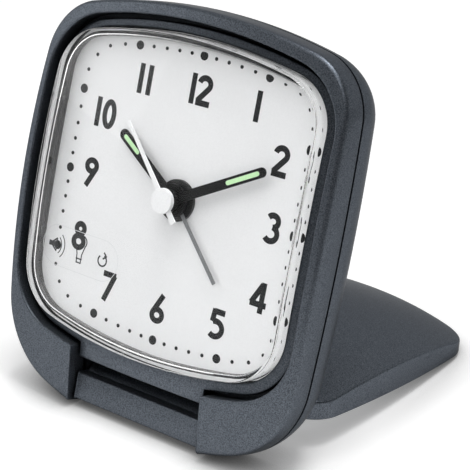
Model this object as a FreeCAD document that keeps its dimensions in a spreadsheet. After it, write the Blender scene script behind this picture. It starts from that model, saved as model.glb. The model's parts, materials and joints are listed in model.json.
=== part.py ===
import FreeCAD, Part
import Sketcher
import math
import os

# Folding travel alarm clock, millimetres.
#
# Everything is drawn in the dial's own frame: X to the right, Y up the dial, Z towards the
# viewer, with the dial's centre on the Z axis. At the end that frame is leant back until the
# lobes of the case and the far rim of the opened cover stand on the floor. The cover is drawn
# closed, about its hinge pin, and its placement turns it to the back, where it is the stand.

os.makedirs("parts", exist_ok=True)
doc = FreeCAD.newDocument("travel_alarm_clock")
Vector = FreeCAD.Vector
Rotation = FreeCAD.Rotation
Placement = FreeCAD.Placement
X_AXIS = Vector(1, 0, 0)
Z_AXIS = Vector(0, 0, 1)

# ---------------------------------------------------------------- driving dimensions
# Each outline is four shallow arcs joined by four corner arcs: half width, height above and
# below the centre, the arcs' radii, the corners' radii and the height of its widest place.
SIZES = {
    "case_half_width": 33.13, "case_top": 33.14, "case_bottom": 42.4, "case_top_arc": 108,
    "case_bottom_arc": 70.5, "case_side_arc": 400, "case_top_corner": 11.2,
    "case_bottom_corner": 16.1, "case_widest": -1.5,
    "rim_half_width": 31.0, "rim_top": 30.7, "rim_bottom": 31.1, "rim_top_arc": 98,
    "rim_bottom_arc": 104, "rim_side_arc": 600, "rim_top_corner": 11.8,
    "rim_bottom_corner": 11.5, "rim_widest": 0,
    "lens_half_width": 28.1, "lens_top": 28.0, "lens_bottom": 28.0, "lens_top_arc": 100,
    "lens_bottom_arc": 100, "lens_side_arc": 500, "lens_top_corner": 8.9,
    "lens_bottom_corner": 9.5, "lens_widest": 0,
    "cover_half_width": 30.4, "cover_top": 29.3, "cover_bottom": 29.3, "cover_top_arc": 110,
    "cover_bottom_arc": 100, "cover_side_arc": 250, "cover_top_corner": 9.0,
    "cover_bottom_corner": 6.5, "cover_widest": 0,
    # shallow domes: height on the dial's axis and radius of the sphere
    "crest_height": 6.7, "crest_radius": 215, "ring_height": 4.88, "ring_radius": 200,
    "lens_height": 7.3, "lens_radius": 220, "parting_height": -0.86, "parting_radius": 980,
    # front bezel
    "wall": 1.4, "bezel_draft": 0.05, "bezel_front": 9.0, "bezel_back": -3.0,
    "channel_width": 0.75, "ring_underside": 1.15, "channel_floor": 0.2, "web_back": -0.6,
    "skirt_inset": 1.3, "slot_half_width": 14.8, "strip_edge": -32.1,
    # rear shell
    "shell_round": 12.6, "shell_round_turn": 36, "shell_slope": 38, "shell_back": -16.4,
    "shell_inner_back": -14.9, "recess_back": -5.8, "recess_edge": -27.0,
    "cavity_bottom": 21.8, "dial_well_back": -2.2,
    # cover: cover_reach and cover_rim lead from the hinge pin to the foot of its dome's axis
    "hinge_height": -0.16, "hinge_drop": 37.7, "cover_turn": 79.8, "cover_rim": 3.1,
    "cover_reach": 35.12, "cover_shift": 2.68, "cover_crown": 9.2, "cover_dome_radius": 110,
    "cover_wall": 0.8, "cover_roof": 1.0, "knuckle_half_length": 14.3,
    "pin_radius": 0.45, "pin_bore_radius": 0.5, "pin_half_length": 17.6,
    # lens
    "lens_wall": 0.9, "lens_plate": 2.0, "lens_flare": 0.15, "lens_flange": 1.2,
    "flange_front": 1.0, "flange_back": 0.2, "lens_travel": 0.8,
    "spring_x": 28.7, "spring_y": 12, "spring_radius": 0.42, "spring_wire": 0.1,
    "spring_foot": -6.4, "spring_turns": 8, "spring_hole": 0.7,
    # dial and hands
    "dial_half_width": 28.3, "dial_front": -0.8, "dial_back": -1.3, "dial_hole": 2.6,
    "bush_radius": 3.65, "bush_front": -0.2,
    "alarm_hand_back": -0.1, "alarm_hand_front": 0.05, "alarm_hand_length": 16.2,
    "alarm_hand_width": 0.75, "alarm_hand_turn": 136.6,
    "hour_hand_back": 0.4, "hour_hand_front": 0.65, "hour_hand_length": 16.5,
    "hour_hand_width": 2.0, "hour_hand_turn": 303.8,
    "minute_hand_back": 1.3, "minute_hand_front": 1.55, "minute_hand_length": 20.5,
    "minute_hand_width": 2.05, "minute_hand_turn": 62.6,
    "second_hand_back": 3.1, "second_hand_front": 3.35, "second_hand_length": 15.6,
    "second_hand_width": 0.6, "second_hand_turn": 318, "second_hub_radius": 2.2,
    "lume_width": 0.75, "lume_thickness": 0.1,
    "contact_top": -0.65, "contact_leaf": 0.2, "contact_half": 6, "contact_foot": 0.5,
    "contact_y": 28.4, "contact_width": 0.6,
    "alarm_hub": 2.4, "hour_hub": 2.9, "minute_hub": 1.9, "hour_boss": 0.4, "minute_boss": 0.5,
    "second_boss": 0.6, "pipe_proud": 0.3,
    # wheels: how many teeth, and where each lies between the plates
    "alarm_teeth": 24, "alarm_wheel_back": -3.1, "alarm_wheel_front": -2.6,
    "hour_teeth": 32, "hour_wheel_back": -3.9, "hour_wheel_front": -3.5,
    "cannon_teeth": 10, "cannon_pinion_back": -5.1, "cannon_pinion_front": -4.3,
    "cannon_pipe_back": -6.2,
    "minute_teeth": 64, "minute_wheel_back": -5.9, "minute_wheel_front": -5.5,
    "second_teeth": 40, "second_wheel_back": -7.9, "second_wheel_front": -7.5,
    "second_leaves": 8, "second_pinion_back": -7.3, "second_pinion_front": -6.5,
    "motion_teeth": 30, "motion_wheel_back": -4.9, "motion_wheel_front": -4.5,
    "motion_leaves": 8, "motion_pinion_back": -4.2, "motion_pinion_front": -3.3,
    "motion_arbor_back": -5.2,
    "third_teeth": 60, "third_wheel_back": -7.1, "third_wheel_front": -6.7,
    "third_leaves": 8, "third_pinion_back": -6.3, "third_pinion_front": -5.3,
    "idler_teeth": 48, "idler_wheel_back": -6.4, "idler_wheel_front": -6.05,
    "idler_leaves": 8, "idler_pinion_back": -8.1, "idler_pinion_front": -7.4,
    "idler_arbor_front": -6.0,
    "rotor_teeth": 8, "rotor_back": -6.5, "rotor_front": -6.0, "magnet_back": -5.3,
    "magnet_height": 1.0,
    "time_knob_teeth": 12, "time_knob_pinion_back": -5.0, "time_knob_pinion_front": -4.4,
    "alarm_knob_teeth": 24, "alarm_knob_pinion_back": -3.2, "alarm_knob_pinion_front": -2.5,
    # movement
    "bush_tube": 2.5, "bush_bore": 1.47, "alarm_pipe": 1.4, "alarm_pipe_bore": 0.97,
    "hour_pipe": 0.9, "hour_pipe_bore": 0.62, "minute_pipe": 0.55, "minute_pipe_bore": 0.32,
    "second_arbor": 0.25, "arbor_radius": 0.3, "running_gap": 0.04, "knob_arbor": 0.6,
    "arbor_front": -1.5, "arbor_back": -9.2, "tooth_tip": 0.8, "tooth_root": 1.1,
    "coarse_module": 0.25, "fine_module": 0.2, "alarm_module": 0.3, "rotor_module": 0.15,
    "third_pinion_module": 0.18889, "pillar_radius": 1.4, "movement_screw": 0.6,
    "movement_screw_head": 1.2, "movement_screw_tip": -12.7, "stator_back": -5.2,
    "stator_front": -4.6, "coil_y": -11.5, "coil_radius": 1.5, "board_width": 9.4,
    "board_height": 22, "board_x": 21.4, "board_y": -3, "board_back": -5.0,
    "plate_half_width": 15.5, "plate_top": 9.5, "plate_bottom": -15.0,
    "front_plate_back": -2.3, "back_plate_front": -8.4, "back_plate_back": -9.4,
    "motion_distance": 5.0, "motion_turn": 150, "time_knob_distance": 10.25,
    "alarm_knob_distance": 7.2, "alarm_knob_turn": 15,
    "third_distance": 6.8, "third_turn": 300, "idler_distance": 4.8, "rotor_distance": 9.0,
    "rotor_turn": 230, "rotor_radius": 2.0,
    # knobs, battery, switch
    "knob_radius": 4.0, "knob_front": -16.7, "knob_back": -18.6, "knob_hole": 1.4,
    "knob_ribs": 24, "knob_rib": 0.25, "door_gap": 0.05,
    "case_screw_x": 21.5, "case_screw_y": -35.2, "screw_radius": 0.8, "screw_tip": 0.4,
    "battery_radius": 5.25, "battery_length": 43.7, "battery_y": 16, "battery_z": -9.3,
    "door_half_width": 24.0, "door_bottom": 10.2, "door_thickness": 0.8, "door_seat": 0.9,
    "switch_x": 0, "switch_y": -9.5, "switch_travel": 4,
    "shell_front": -1.45, "tuck_ease": 2.05, "bay_half_width": 22.9, "bay_bottom": 10.7,
    "bay_top": 21.3, "bay_wall": 0.9, "bay_floor": -3.0, "post_x": 13.5, "post_high": 7.6,
    "post_low": -13, "post_radius": 1.6, "ledge_x": 28.6, "ledge_width": 3.2, "ledge_depth": 2,
    "screw_head": 1.7, "screw_seat": -3.4, "buzzer_x": -19.4, "buzzer_y": -6,
    "sound_ring": 2.2, "sound_hole": 0.6, "switch_slot_width": 7.4, "switch_slot_height": 3,
    # standing on the floor
    "usual_lean": 16.5, "foot_flat": 0.3, "floor_reach": 90,
}

sheet = doc.addObject("Spreadsheet::Sheet", "sizes")
for row, (alias, value) in enumerate(SIZES.items(), start=1):
    sheet.set("A%d" % row, alias)
    sheet.set("B%d" % row, str(value))
    sheet.setAlias("B%d" % row, alias)
doc.recompute()


def size(alias):
    """The number in the sheet's cell of that name."""
    return float(sheet.get(alias))


def polar(distance, clock_turn):
    """The point at a distance from the dial's centre, at an angle clockwise from twelve."""
    angle = math.radians(90 - clock_turn)
    return Vector(distance * math.cos(angle), distance * math.sin(angle), 0)


def around(distance, degrees):
    """The point at a distance from the dial's centre, at an angle counted from +X to +Y."""
    angle = math.radians(degrees)
    return Vector(distance * math.cos(angle), distance * math.sin(angle), 0)


# ---------------------------------------------------------------- how the clock stands
def lowest_points():
    """The two places that meet the floor, as (Y, Z) in the dial's frame: the underside of the
    lobes, where the rear shell's round faces down, and the opened cover's far rim."""
    lean = math.radians(size("usual_lean"))
    half = size("slot_half_width")
    arc = size("case_bottom_arc")
    edge = size("case_bottom") - arc + math.sqrt(arc**2 - half**2)
    roll = size("shell_round")
    lobe = (-(edge - roll * (1 - math.cos(lean))), size("shell_front") - roll * math.sin(lean))
    turn = math.radians(size("cover_turn"))
    along = size("cover_reach") + size("cover_shift") + size("cover_top")
    up = size("cover_rim")
    far_y = -size("hinge_drop") + along * math.cos(turn) + up * math.sin(turn)
    far_z = size("hinge_height") - along * math.sin(turn) + up * math.cos(turn)
    return lobe, (far_y, far_z)


def standing():
    """How far the dial leans back, in degrees, and how high its centre is above the floor,
    when both places lie on the floor. Both are worn flat by foot_flat."""
    lobe, far = lowest_points()
    lean = math.atan((far[0] - lobe[0]) / (lobe[1] - far[1]))
    height = -lobe[0] * math.cos(lean) - lobe[1] * math.sin(lean) - size("foot_flat")
    return math.degrees(lean), height


LEAN, DIAL_HEIGHT = standing()
HINGE = Vector(0, -size("hinge_drop"), size("hinge_height"))
OPENED = Placement(HINGE, Rotation(X_AXIS, -size("cover_turn")))


# ---------------------------------------------------------------- sketches and features
def new_body(name):
    body = doc.addObject("PartDesign::Body", name)
    body.Label = name
    return body


def sketch_on(body, role, at="0"):
    """A sketch on one of the body's own origin planes, moved along the plane's normal."""
    sketch = body.newObject("Sketcher::SketchObject", body.Name + "_sketch")
    for feature in body.Origin.OriginFeatures:
        if feature.Role == role:
            sketch.AttachmentSupport = [(feature, "")]
    sketch.MapMode = "FlatFace"
    sketch.setExpression("AttachmentOffset.Base.z", at)
    return sketch


def volume(body):
    doc.recompute()
    return body.Shape.Volume if body.Tip else 0


def finished(body, feature, grows, before):
    """Recompute, and stop if the feature did not add or remove anything."""
    after = volume(body)
    if (after > before) != grows or abs(after - before) < 1e-6:
        raise ValueError("%s changed nothing in %s" % (feature.Name, body.Name))
    return feature


def pad(body, draw, at="0", length="1", role="XY_Plane", both=False):
    """Pad what draw puts in a sketch by length, along the normal or both ways."""
    before = volume(body)
    sketch = sketch_on(body, role, at)
    draw(sketch)
    feature = body.newObject("PartDesign::Pad", body.Name + "_pad")
    feature.Profile = sketch
    feature.setExpression("Length", length)
    if both:
        feature.SideType = "Symmetric"
    return finished(body, feature, True, before)


def pocket(body, draw, at="0", length="1", role="XY_Plane", both=False):
    """Cut what draw puts in a sketch to a depth of length, against the normal or both ways."""
    before = volume(body)
    sketch = sketch_on(body, role, at)
    draw(sketch)
    feature = body.newObject("PartDesign::Pocket", body.Name + "_pocket")
    feature.Profile = sketch
    feature.setExpression("Length", length)
    if both:
        feature.SideType = "Symmetric"
    return finished(body, feature, False, before)


def turned(body, draw, cut=False):
    """Revolve a profile in the XZ plane about Z, as a solid or as a groove."""
    before = volume(body)
    sketch = sketch_on(body, "XZ_Plane")
    draw(sketch)
    kind = "PartDesign::Groove" if cut else "PartDesign::Revolution"
    feature = body.newObject(kind, body.Name + "_turned")
    feature.Profile = sketch
    feature.ReferenceAxis = (sketch, ["V_Axis"])
    feature.Angle = 360
    return finished(body, feature, not cut, before)


def loft(body, sections, cut=False, ruled=True):
    """Loft through outlines drawn at several heights: sections holds (draw, height) pairs."""
    before = volume(body)
    sketches = []
    for draw, at in sections:
        sketch = sketch_on(body, "XY_Plane", at)
        draw(sketch)
        sketches.append(sketch)
    kind = "PartDesign::SubtractiveLoft" if cut else "PartDesign::AdditiveLoft"
    feature = body.newObject(kind, body.Name + "_loft")
    feature.Profile = sketches[0]
    feature.Sections = sketches[1:]
    feature.Ruled = ruled
    return finished(body, feature, not cut, before)


def join(body, tool):
    """Fuse another body into this one."""
    before = volume(body)
    feature = body.newObject("PartDesign::Boolean", body.Name + "_join")
    feature.addObjects([tool])
    feature.Type = 0
    return finished(body, feature, True, before)


# ---------------------------------------------------------------- what a sketch can hold
def polygon(*points):
    """Draw straight lines through the points and back to the first."""
    def draw(sketch):
        corners = [Vector(x, y, 0) for x, y in points]
        for start, end in zip(corners, corners[1:] + corners[:1]):
            sketch.addGeometry(Part.LineSegment(start, end), False)
    return draw


def rectangle(width, height, x="0", y="0"):
    """Draw a rectangle whose width, height and centre are expressions of the sheet's cells."""
    def draw(sketch):
        corners = [Vector(-1, -1, 0), Vector(1, -1, 0), Vector(1, 1, 0), Vector(-1, 1, 0)]
        first = sketch.GeometryCount
        for start, end in zip(corners, corners[1:] + corners[:1]):
            sketch.addGeometry(Part.LineSegment(start, end), False)
        for k in range(4):
            after = first + (k + 1) % 4
            sketch.addConstraint(Sketcher.Constraint("Coincident", first + k, 2, after, 1))
            kind = "Horizontal" if k % 2 == 0 else "Vertical"
            sketch.addConstraint(Sketcher.Constraint(kind, first + k))
        bound(sketch, Sketcher.Constraint("DistanceX", first, 1, first, 2, 2.0), width)
        bound(sketch, Sketcher.Constraint("DistanceY", first + 1, 1, first + 1, 2, 2.0), height)
        signed(sketch, "DistanceX", first, 1, "(%s) - (%s) / 2" % (x, width))
        signed(sketch, "DistanceY", first, 1, "(%s) - (%s) / 2" % (y, height))
    return draw


def bound(sketch, constraint, expression):
    """Add a dimension whose value is an expression of the sheet's cells."""
    number = sketch.addConstraint(constraint)
    sketch.setExpression("Constraints[%d]" % number, expression)


def signed(sketch, kind, geometry, point, expression):
    """Place a point at a signed distance from the sketch's origin."""
    bound(sketch, Sketcher.Constraint(kind, -1, 1, geometry, point, 1.0), expression)


def circle(radius, x="0", y="0"):
    """Draw a circle whose radius and centre are expressions of the sheet's cells."""
    def draw(sketch):
        number = sketch.addGeometry(Part.Circle(Vector(0, 0, 0), Z_AXIS, 1), False)
        bound(sketch, Sketcher.Constraint("Radius", number, 1.0), radius)
        signed(sketch, "DistanceX", number, 3, x)
        signed(sketch, "DistanceY", number, 3, y)
    return draw


def disc(radius, centre=Vector(0, 0, 0)):
    """Draw a circle of a worked-out radius about a worked-out centre."""
    def draw(sketch):
        sketch.addGeometry(Part.Circle(Vector(centre.x, centre.y, 0), Z_AXIS, radius), False)
    return draw


def all_of(*draws):
    """Draw several things in one sketch: an outline inside another is a hole."""
    def draw(sketch):
        for one in draws:
            one(sketch)
    return draw


def corner_of(side, side_radius, cap, cap_radius, corner):
    """The centre of the corner arc that touches the side's arc and the cap's arc from inside,
    found where two circles cross, and the directions of its two ends."""
    a = side_radius - corner
    b = cap_radius - corner
    gap = cap.sub(side)
    d = gap.Length
    along = (a**2 - b**2 + d**2) / (2 * d)
    across = math.sqrt(a**2 - along**2)
    middle = side.add(Vector(gap).multiply(along / d))
    normal = Vector(-gap.y, gap.x, 0).multiply(across / d)
    centre = max(middle.add(normal), middle.sub(normal), key=lambda point: point.x)
    from_side = centre.sub(side)
    from_cap = centre.sub(cap)
    return centre, math.atan2(from_side.y, from_side.x), math.atan2(from_cap.y, from_cap.x)


def outline(name, inset=0.0, centre_y=0.0):
    """Draw one of the sheet's rounded outlines, moved inwards by inset: bottom arc, corner,
    side arc, corner, top arc, and the same again on the left."""
    def draw(sketch):
        half, top, bottom = [size(name + end) - inset for end in ("_half_width", "_top", "_bottom")]
        top_arc, bottom_arc = size(name + "_top_arc") - inset, size(name + "_bottom_arc") - inset
        side_arc = size(name + "_side_arc") - inset
        high, low = size(name + "_top_corner") - inset, size(name + "_bottom_corner") - inset
        side = Vector(half - side_arc, size(name + "_widest"), 0)
        over = Vector(0, top - top_arc, 0)
        under = Vector(0, bottom_arc - bottom, 0)
        high_centre, side_end, top_end = corner_of(side, side_arc, over, top_arc, high)
        low_centre, side_start, bottom_end = corner_of(side, side_arc, under, bottom_arc, low)
        right = [(low_centre, low, bottom_end, side_start), (side, side_arc, side_start, side_end),
                 (high_centre, high, side_end, top_end)]
        left = [(Vector(-c.x, c.y, 0), r, math.pi - end, math.pi - start)
                for c, r, start, end in reversed(right)]
        arcs = [(under, bottom_arc, -math.pi - bottom_end, bottom_end)] + right
        arcs += [(over, top_arc, top_end, math.pi - top_end)] + left
        for centre, radius, start, end in arcs:
            ring = Part.Circle(centre.add(Vector(0, centre_y, 0)), Z_AXIS, radius)
            sketch.addGeometry(Part.ArcOfCircle(ring, start, end), False)
    return draw


def above_dome(height, radius, out, top):
    """Draw the half section of everything above a shallow dome centred on the axis, or below
    it when top is lower than the dome."""
    def draw(sketch):
        centre = Vector(0, height - radius, 0)
        reach = math.asin(out / radius)
        rim = height - radius + radius * math.cos(reach)
        sphere = Part.Circle(centre, Z_AXIS, radius)
        arc = Part.ArcOfCircle(sphere, math.pi / 2 - reach, math.pi / 2)
        lines = [((0, height), (0, top)), ((0, top), (out, top)), ((out, top), (out, rim))]
        sketch.addGeometry(arc, False)
        for start, end in lines:
            sketch.addGeometry(Part.LineSegment(Vector(*start, 0), Vector(*end, 0)), False)
    return draw


def floor_cut(body, frame):
    """Wear the body flat where it would stand below the floor. The floor is a line in the
    body's own YZ plane, found by undoing the placement frame."""
    lean = math.radians(LEAN)
    up = Vector(0, math.cos(lean), math.sin(lean))
    foot = up.multiply(-DIAL_HEIGHT)
    along = Vector(0, math.sin(lean), -math.cos(lean))
    below = Vector(0, -math.cos(lean), -math.sin(lean))
    reach = size("floor_reach")
    back = frame.inverse()
    corners = []
    for s, d in ((-reach, 0), (reach, 0), (reach, reach), (-reach, reach)):
        point = back.multVec(foot.add(Vector(along).multiply(s)).add(Vector(below).multiply(d)))
        corners.append((point.y, point.z))
    pocket(body, polygon(*corners), length="sizes.floor_reach", role="YZ_Plane", both=True)


# ---------------------------------------------------------------- case
def front_bezel():
    """The front half of the case: a domed rim, two lobes that hold the hinge pin, and inside
    a deep channel the lower ring that the lens stands in."""
    ring = new_body("bezel_ring")
    inset = size("channel_width")
    strip = size("slot_half_width") + 1.0
    strip_top = -size("lens_bottom")
    pad(ring, outline("rim", inset), "sizes.ring_underside", "3")
    edge = size("strip_edge")
    pad(ring, polygon((-strip, edge), (strip, edge), (strip, strip_top), (-strip, strip_top)),
        "sizes.ring_underside", "3")
    turned(ring, above_dome(size("ring_height"), size("ring_radius"), 60, 9), cut=True)
    skirt = size("skirt_inset")
    pad(ring, all_of(outline("rim", inset), outline("rim", skirt)), "sizes.web_back",
        "sizes.ring_underside - sizes.web_back + 0.2")
    pad(ring, all_of(outline("rim", -0.6), outline("rim", skirt)), "sizes.web_back",
        "sizes.channel_floor - sizes.web_back")
    pad(ring, polygon((-strip, edge), (strip, edge), (strip, edge + 2), (-strip, edge + 2)),
        "sizes.web_back", "sizes.ring_underside - sizes.web_back + 0.2")

    body = new_body("front_bezel")
    draft = size("bezel_draft")
    front = size("bezel_front")
    back = size("bezel_back")
    parting = size("parting_height")
    loft(body, [(outline("case", draft * (back - parting)), "sizes.bezel_back"),
                (outline("case", draft * (front - parting)), "sizes.bezel_front")])
    turned(body, above_dome(size("crest_height"), size("crest_radius"), 60, front + 1), cut=True)
    turned(body, above_dome(parting, size("parting_radius"), 60, back - 1), cut=True)
    pocket(body, outline("rim"), "sizes.bezel_front + 1", "20")
    slot = size("slot_half_width")
    slot_top = -size("rim_bottom") + 1
    pocket(body, polygon((-slot, slot_top), (slot, slot_top), (slot, -50), (-slot, -50)),
           "sizes.bezel_front + 1", "20")
    pocket(body, outline("rim", -0.6), "sizes.web_back", "5")
    join(body, ring)
    pocket(body, outline("lens", -size("lens_flare") - 0.2), "sizes.bezel_front", "20")
    pocket(body, outline("lens", -size("lens_flange") - 0.15), "sizes.ring_underside", "20")
    pocket(body, circle("sizes.pin_radius", "-sizes.hinge_drop", "sizes.hinge_height"),
           length="2 * sizes.pin_half_length", role="YZ_Plane", both=True)
    for x in ("-sizes.case_screw_x", "sizes.case_screw_x"):
        pocket(body, circle("sizes.screw_radius", x, "sizes.case_screw_y"),
               "sizes.screw_tip", "10")
    return body


def shell_sections(inset=0.0, name="case", ahead=2.0):
    """The rear shell's outlines, front to back, as (outline, height) pairs: a round of one
    radius, then a straight slope to the flat back."""
    roll = size("shell_round")
    front = size("shell_front")
    steps = 5
    rounds = [(outline(name, inset), repr(front + ahead))]
    for k in range(steps + 1):
        turn = math.radians(size("shell_round_turn")) * k / steps
        rounds.append((outline(name, inset + roll * (1 - math.cos(turn))),
                       repr(front - roll * math.sin(turn))))
    return rounds


def back_inset(height):
    """How far the outer outline has moved in at a height on the straight slope."""
    roll = size("shell_round")
    turn = math.radians(size("shell_round_turn"))
    start = size("shell_front") - roll * math.sin(turn)
    return roll * (1 - math.cos(turn)) + (start - height) * math.tan(math.radians(size("shell_slope")))


def shell_back_sections(inset, back):
    """The straight slope from the end of the round to the back."""
    start = size("shell_front") - size("shell_round") * math.sin(math.radians(size("shell_round_turn")))
    return [(outline("case", inset + back_inset(start)), repr(start)),
            (outline("case", inset + back_inset(back)), repr(back))]


def rear_shell():
    """The back half of the case: rounded sides, a flat back with the battery's bay and the
    knobs' holes, and a hollow below that the opened cover tucks into."""
    body = new_body("rear_shell")
    sections = shell_sections()
    loft(body, sections[1:], ruled=False)
    loft(body, sections[:2])
    loft(body, shell_back_sections(0, size("shell_back")))
    turned(body, above_dome(size("parting_height"), size("parting_radius"), 60, 9), cut=True)

    recess = size("recess_back")
    edge = size("recess_edge")
    back = size("shell_back") - 1
    tuck = math.tan(math.radians(90 - size("cover_turn")))
    tuck_edge = edge + (recess - back) * tuck * size("tuck_ease")
    pocket(body, polygon((-50, recess), (edge, recess), (tuck_edge, back), (-50, back)),
           length="100", role="YZ_Plane", both=True)
    strip = size("strip_edge")
    foot = size("parting_height")
    pocket(body, polygon((-50, 5), (strip, 5), (strip, foot), (edge - 0.2, recess), (edge - 0.2, -20),
                         (-50, -20)),
           length="2 * sizes.slot_half_width", role="YZ_Plane", both=True)

    wall = size("wall")
    hollow_top = size("shell_front") + 3
    inner = outline("case", wall)
    cavity = new_body("shell_cavity")
    slope_sections = shell_back_sections(wall, size("shell_inner_back"))
    loft(cavity, [(inner, repr(hollow_top)), slope_sections[0]])
    loft(cavity, slope_sections)
    bottom = size("cavity_bottom")
    pocket(cavity, polygon((-50, -bottom), (50, -bottom), (50, -60), (-50, -60)),
           repr(hollow_top + 1), "30")
    cut_away(body, cavity)
    pocket(body, outline("lens", -1.3), repr(hollow_top), "%r - sizes.dial_well_back" % hollow_top)

    # walls of the battery's bay, and the ledge that its door lies on
    bay_x, bay_low, bay_high = size("bay_half_width"), size("bay_bottom"), size("bay_top")
    lip = size("bay_wall")
    floor = size("bay_floor")
    wall_top = size("shell_inner_back")
    pad(body, polygon((-bay_x - lip, bay_low - lip), (bay_x + lip, bay_low - lip),
                      (bay_x + lip, bay_high + lip), (-bay_x - lip, bay_high + lip)),
        repr(wall_top - 0.2), "%r - %r" % (floor, wall_top - 0.2))
    pocket(body, polygon((-bay_x, bay_low), (bay_x, bay_low), (bay_x, bay_high), (-bay_x, bay_high)),
           repr(floor - lip), "20")
    door = size("door_half_width") + 0.15
    low = size("door_bottom") - 0.15
    pocket(body, polygon((-door, low), (door, low), (door, 40), (-door, 40)),
           "sizes.shell_back + sizes.door_seat", "5")

    # posts under the movement, ledges under the lens springs, screws and knobs
    for x in (-1, 1):
        for y in ("sizes.post_high", "sizes.post_low"):
            pad(body, circle("sizes.post_radius", "%d * sizes.post_x" % x, y),
                "sizes.shell_inner_back - 0.2",
                "sizes.back_plate_back - sizes.shell_inner_back + 0.2")
            pocket(body, circle("sizes.screw_radius - 0.2", "%d * sizes.post_x" % x, y),
                   "sizes.back_plate_back", "3.5")
            pad(body, rectangle("sizes.ledge_width", "3", "%d * sizes.ledge_x" % x,
                                "sizes.spring_y" if y.endswith("high") else "-sizes.spring_y"),
                "sizes.spring_foot - sizes.ledge_depth", "sizes.ledge_depth")
        pocket(body, circle("sizes.screw_radius", "%d * sizes.case_screw_x" % x,
                            "sizes.case_screw_y"), "5", "30")
        pocket(body, circle("sizes.screw_head", "%d * sizes.case_screw_x" % x,
                            "sizes.case_screw_y"), "sizes.screw_seat", "30")
    for place in (TIME_KNOB, ALARM_KNOB):
        pocket(body, disc(size("knob_hole"), place), "sizes.shell_inner_back + 1", "5")
    sound_holes(body)
    pocket(body, rectangle("sizes.switch_slot_width", "sizes.switch_slot_height",
                           "sizes.switch_x", "sizes.switch_y"),
           "sizes.shell_inner_back + 1", "5")
    floor_cut(body, Placement())
    return body


def cut_away(body, tool):
    """Subtract another body from this one."""
    before = volume(body)
    feature = body.newObject("PartDesign::Boolean", body.Name + "_cut")
    feature.addObjects([tool])
    feature.Type = 1
    return finished(body, feature, False, before)


def sound_holes(body):
    """One hole through the back, and a ring of the same holes round it, over the buzzer."""
    place = Vector(size("buzzer_x"), size("buzzer_y"), 0)
    for k in range(6):
        hole = place.add(around(size("sound_ring"), 60 * k))
        pocket(body, disc(size("sound_hole"), hole), "sizes.shell_inner_back + 1", "5")
    pocket(body, disc(size("sound_hole"), place), "sizes.shell_inner_back + 1", "5")


# ---------------------------------------------------------------- cover and its hinge
def stand_cover():
    """The domed cover, hollow underneath, with the arm and the knuckle that turn on the pin.
    It is drawn with its rim at Z = 0 and its dome's axis on Z, hinge towards -Y."""
    body = new_body("stand_cover")
    shift = size("cover_shift")
    crown, radius = size("cover_crown"), size("cover_dome_radius")
    pad(body, outline("cover", 0, shift), length="sizes.cover_crown + 1")
    turned(body, above_dome(crown, radius, 60, crown + 3), cut=True)
    pin_y, pin_z = -size("cover_reach"), -size("cover_rim")
    arm = [(pin_y + along, pin_z + up) for along, up in ARM]
    pad(body, polygon(*arm), length="2 * sizes.knuckle_half_length", role="YZ_Plane", both=True)

    hollow = new_body("cover_hollow")
    wall, roof = size("cover_wall"), size("cover_roof")
    pad(hollow, outline("cover", wall, shift), "-1", "sizes.cover_crown + 1")
    turned(hollow, above_dome(crown - roof, radius - roof, 60, crown + 3), cut=True)
    cut_away(body, hollow)
    pocket(body, circle("sizes.pin_bore_radius", "-sizes.cover_reach", "-sizes.cover_rim"),
           length="60", role="YZ_Plane", both=True)
    place = OPENED.multiply(Placement(Vector(0, -pin_y, -pin_z), Rotation()))
    floor_cut(body, place)
    body.Placement = place
    return body


def hinge_pin():
    body = new_body("hinge_pin")
    pad(body, circle("sizes.pin_radius", "-sizes.hinge_drop", "sizes.hinge_height"),
        length="2 * sizes.pin_half_length - 0.2", role="YZ_Plane", both=True)
    return body


def case_screws():
    """Two countersunk screws, up through the rear of the lobes into the bezel."""
    body = new_body("case_screws")
    for side in (-1, 1):
        x = "%d * sizes.case_screw_x" % side
        pad(body, circle("sizes.screw_radius", x, "sizes.case_screw_y"), "sizes.screw_seat",
            "sizes.screw_tip - sizes.screw_seat - 0.1")
        pad(body, circle("sizes.screw_head - 0.1", x, "sizes.case_screw_y"),
            "sizes.screw_seat - 1.1", "1.1")
        slot = size("screw_head")
        x_mm, y_mm = side * size("case_screw_x"), size("case_screw_y")
        for wide, high in ((slot, 0.25), (0.25, slot)):
            pocket(body, polygon((x_mm - wide, y_mm - high), (x_mm + wide, y_mm - high),
                                 (x_mm + wide, y_mm + high), (x_mm - wide, y_mm + high)),
                   "sizes.screw_seat - 0.5", "3")
    return body


# ---------------------------------------------------------------- lens
def lens():
    """The clear domed lens: a deep cap whose flange lies behind the ring, so that pressing it
    moves the whole lens in by lens_travel."""
    body = new_body("lens")
    front = size("lens_height") + 1
    loft(body, [(outline("lens", -size("lens_flare")), "sizes.flange_back"),
                (outline("lens"), repr(front))])
    pad(body, outline("lens", -size("lens_flange")), "sizes.flange_back",
        "sizes.flange_front - sizes.flange_back")
    turned(body, above_dome(size("lens_height"), size("lens_radius"), 60, front + 2), cut=True)
    hollow = new_body("lens_hollow")
    plate = size("lens_plate")
    pad(hollow, outline("lens", size("lens_wall")), "-1", repr(front + 1))
    turned(hollow, above_dome(size("lens_height") - plate, size("lens_radius") - plate, 60,
                              front + 2), cut=True)
    cut_away(body, hollow)
    return body


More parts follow.
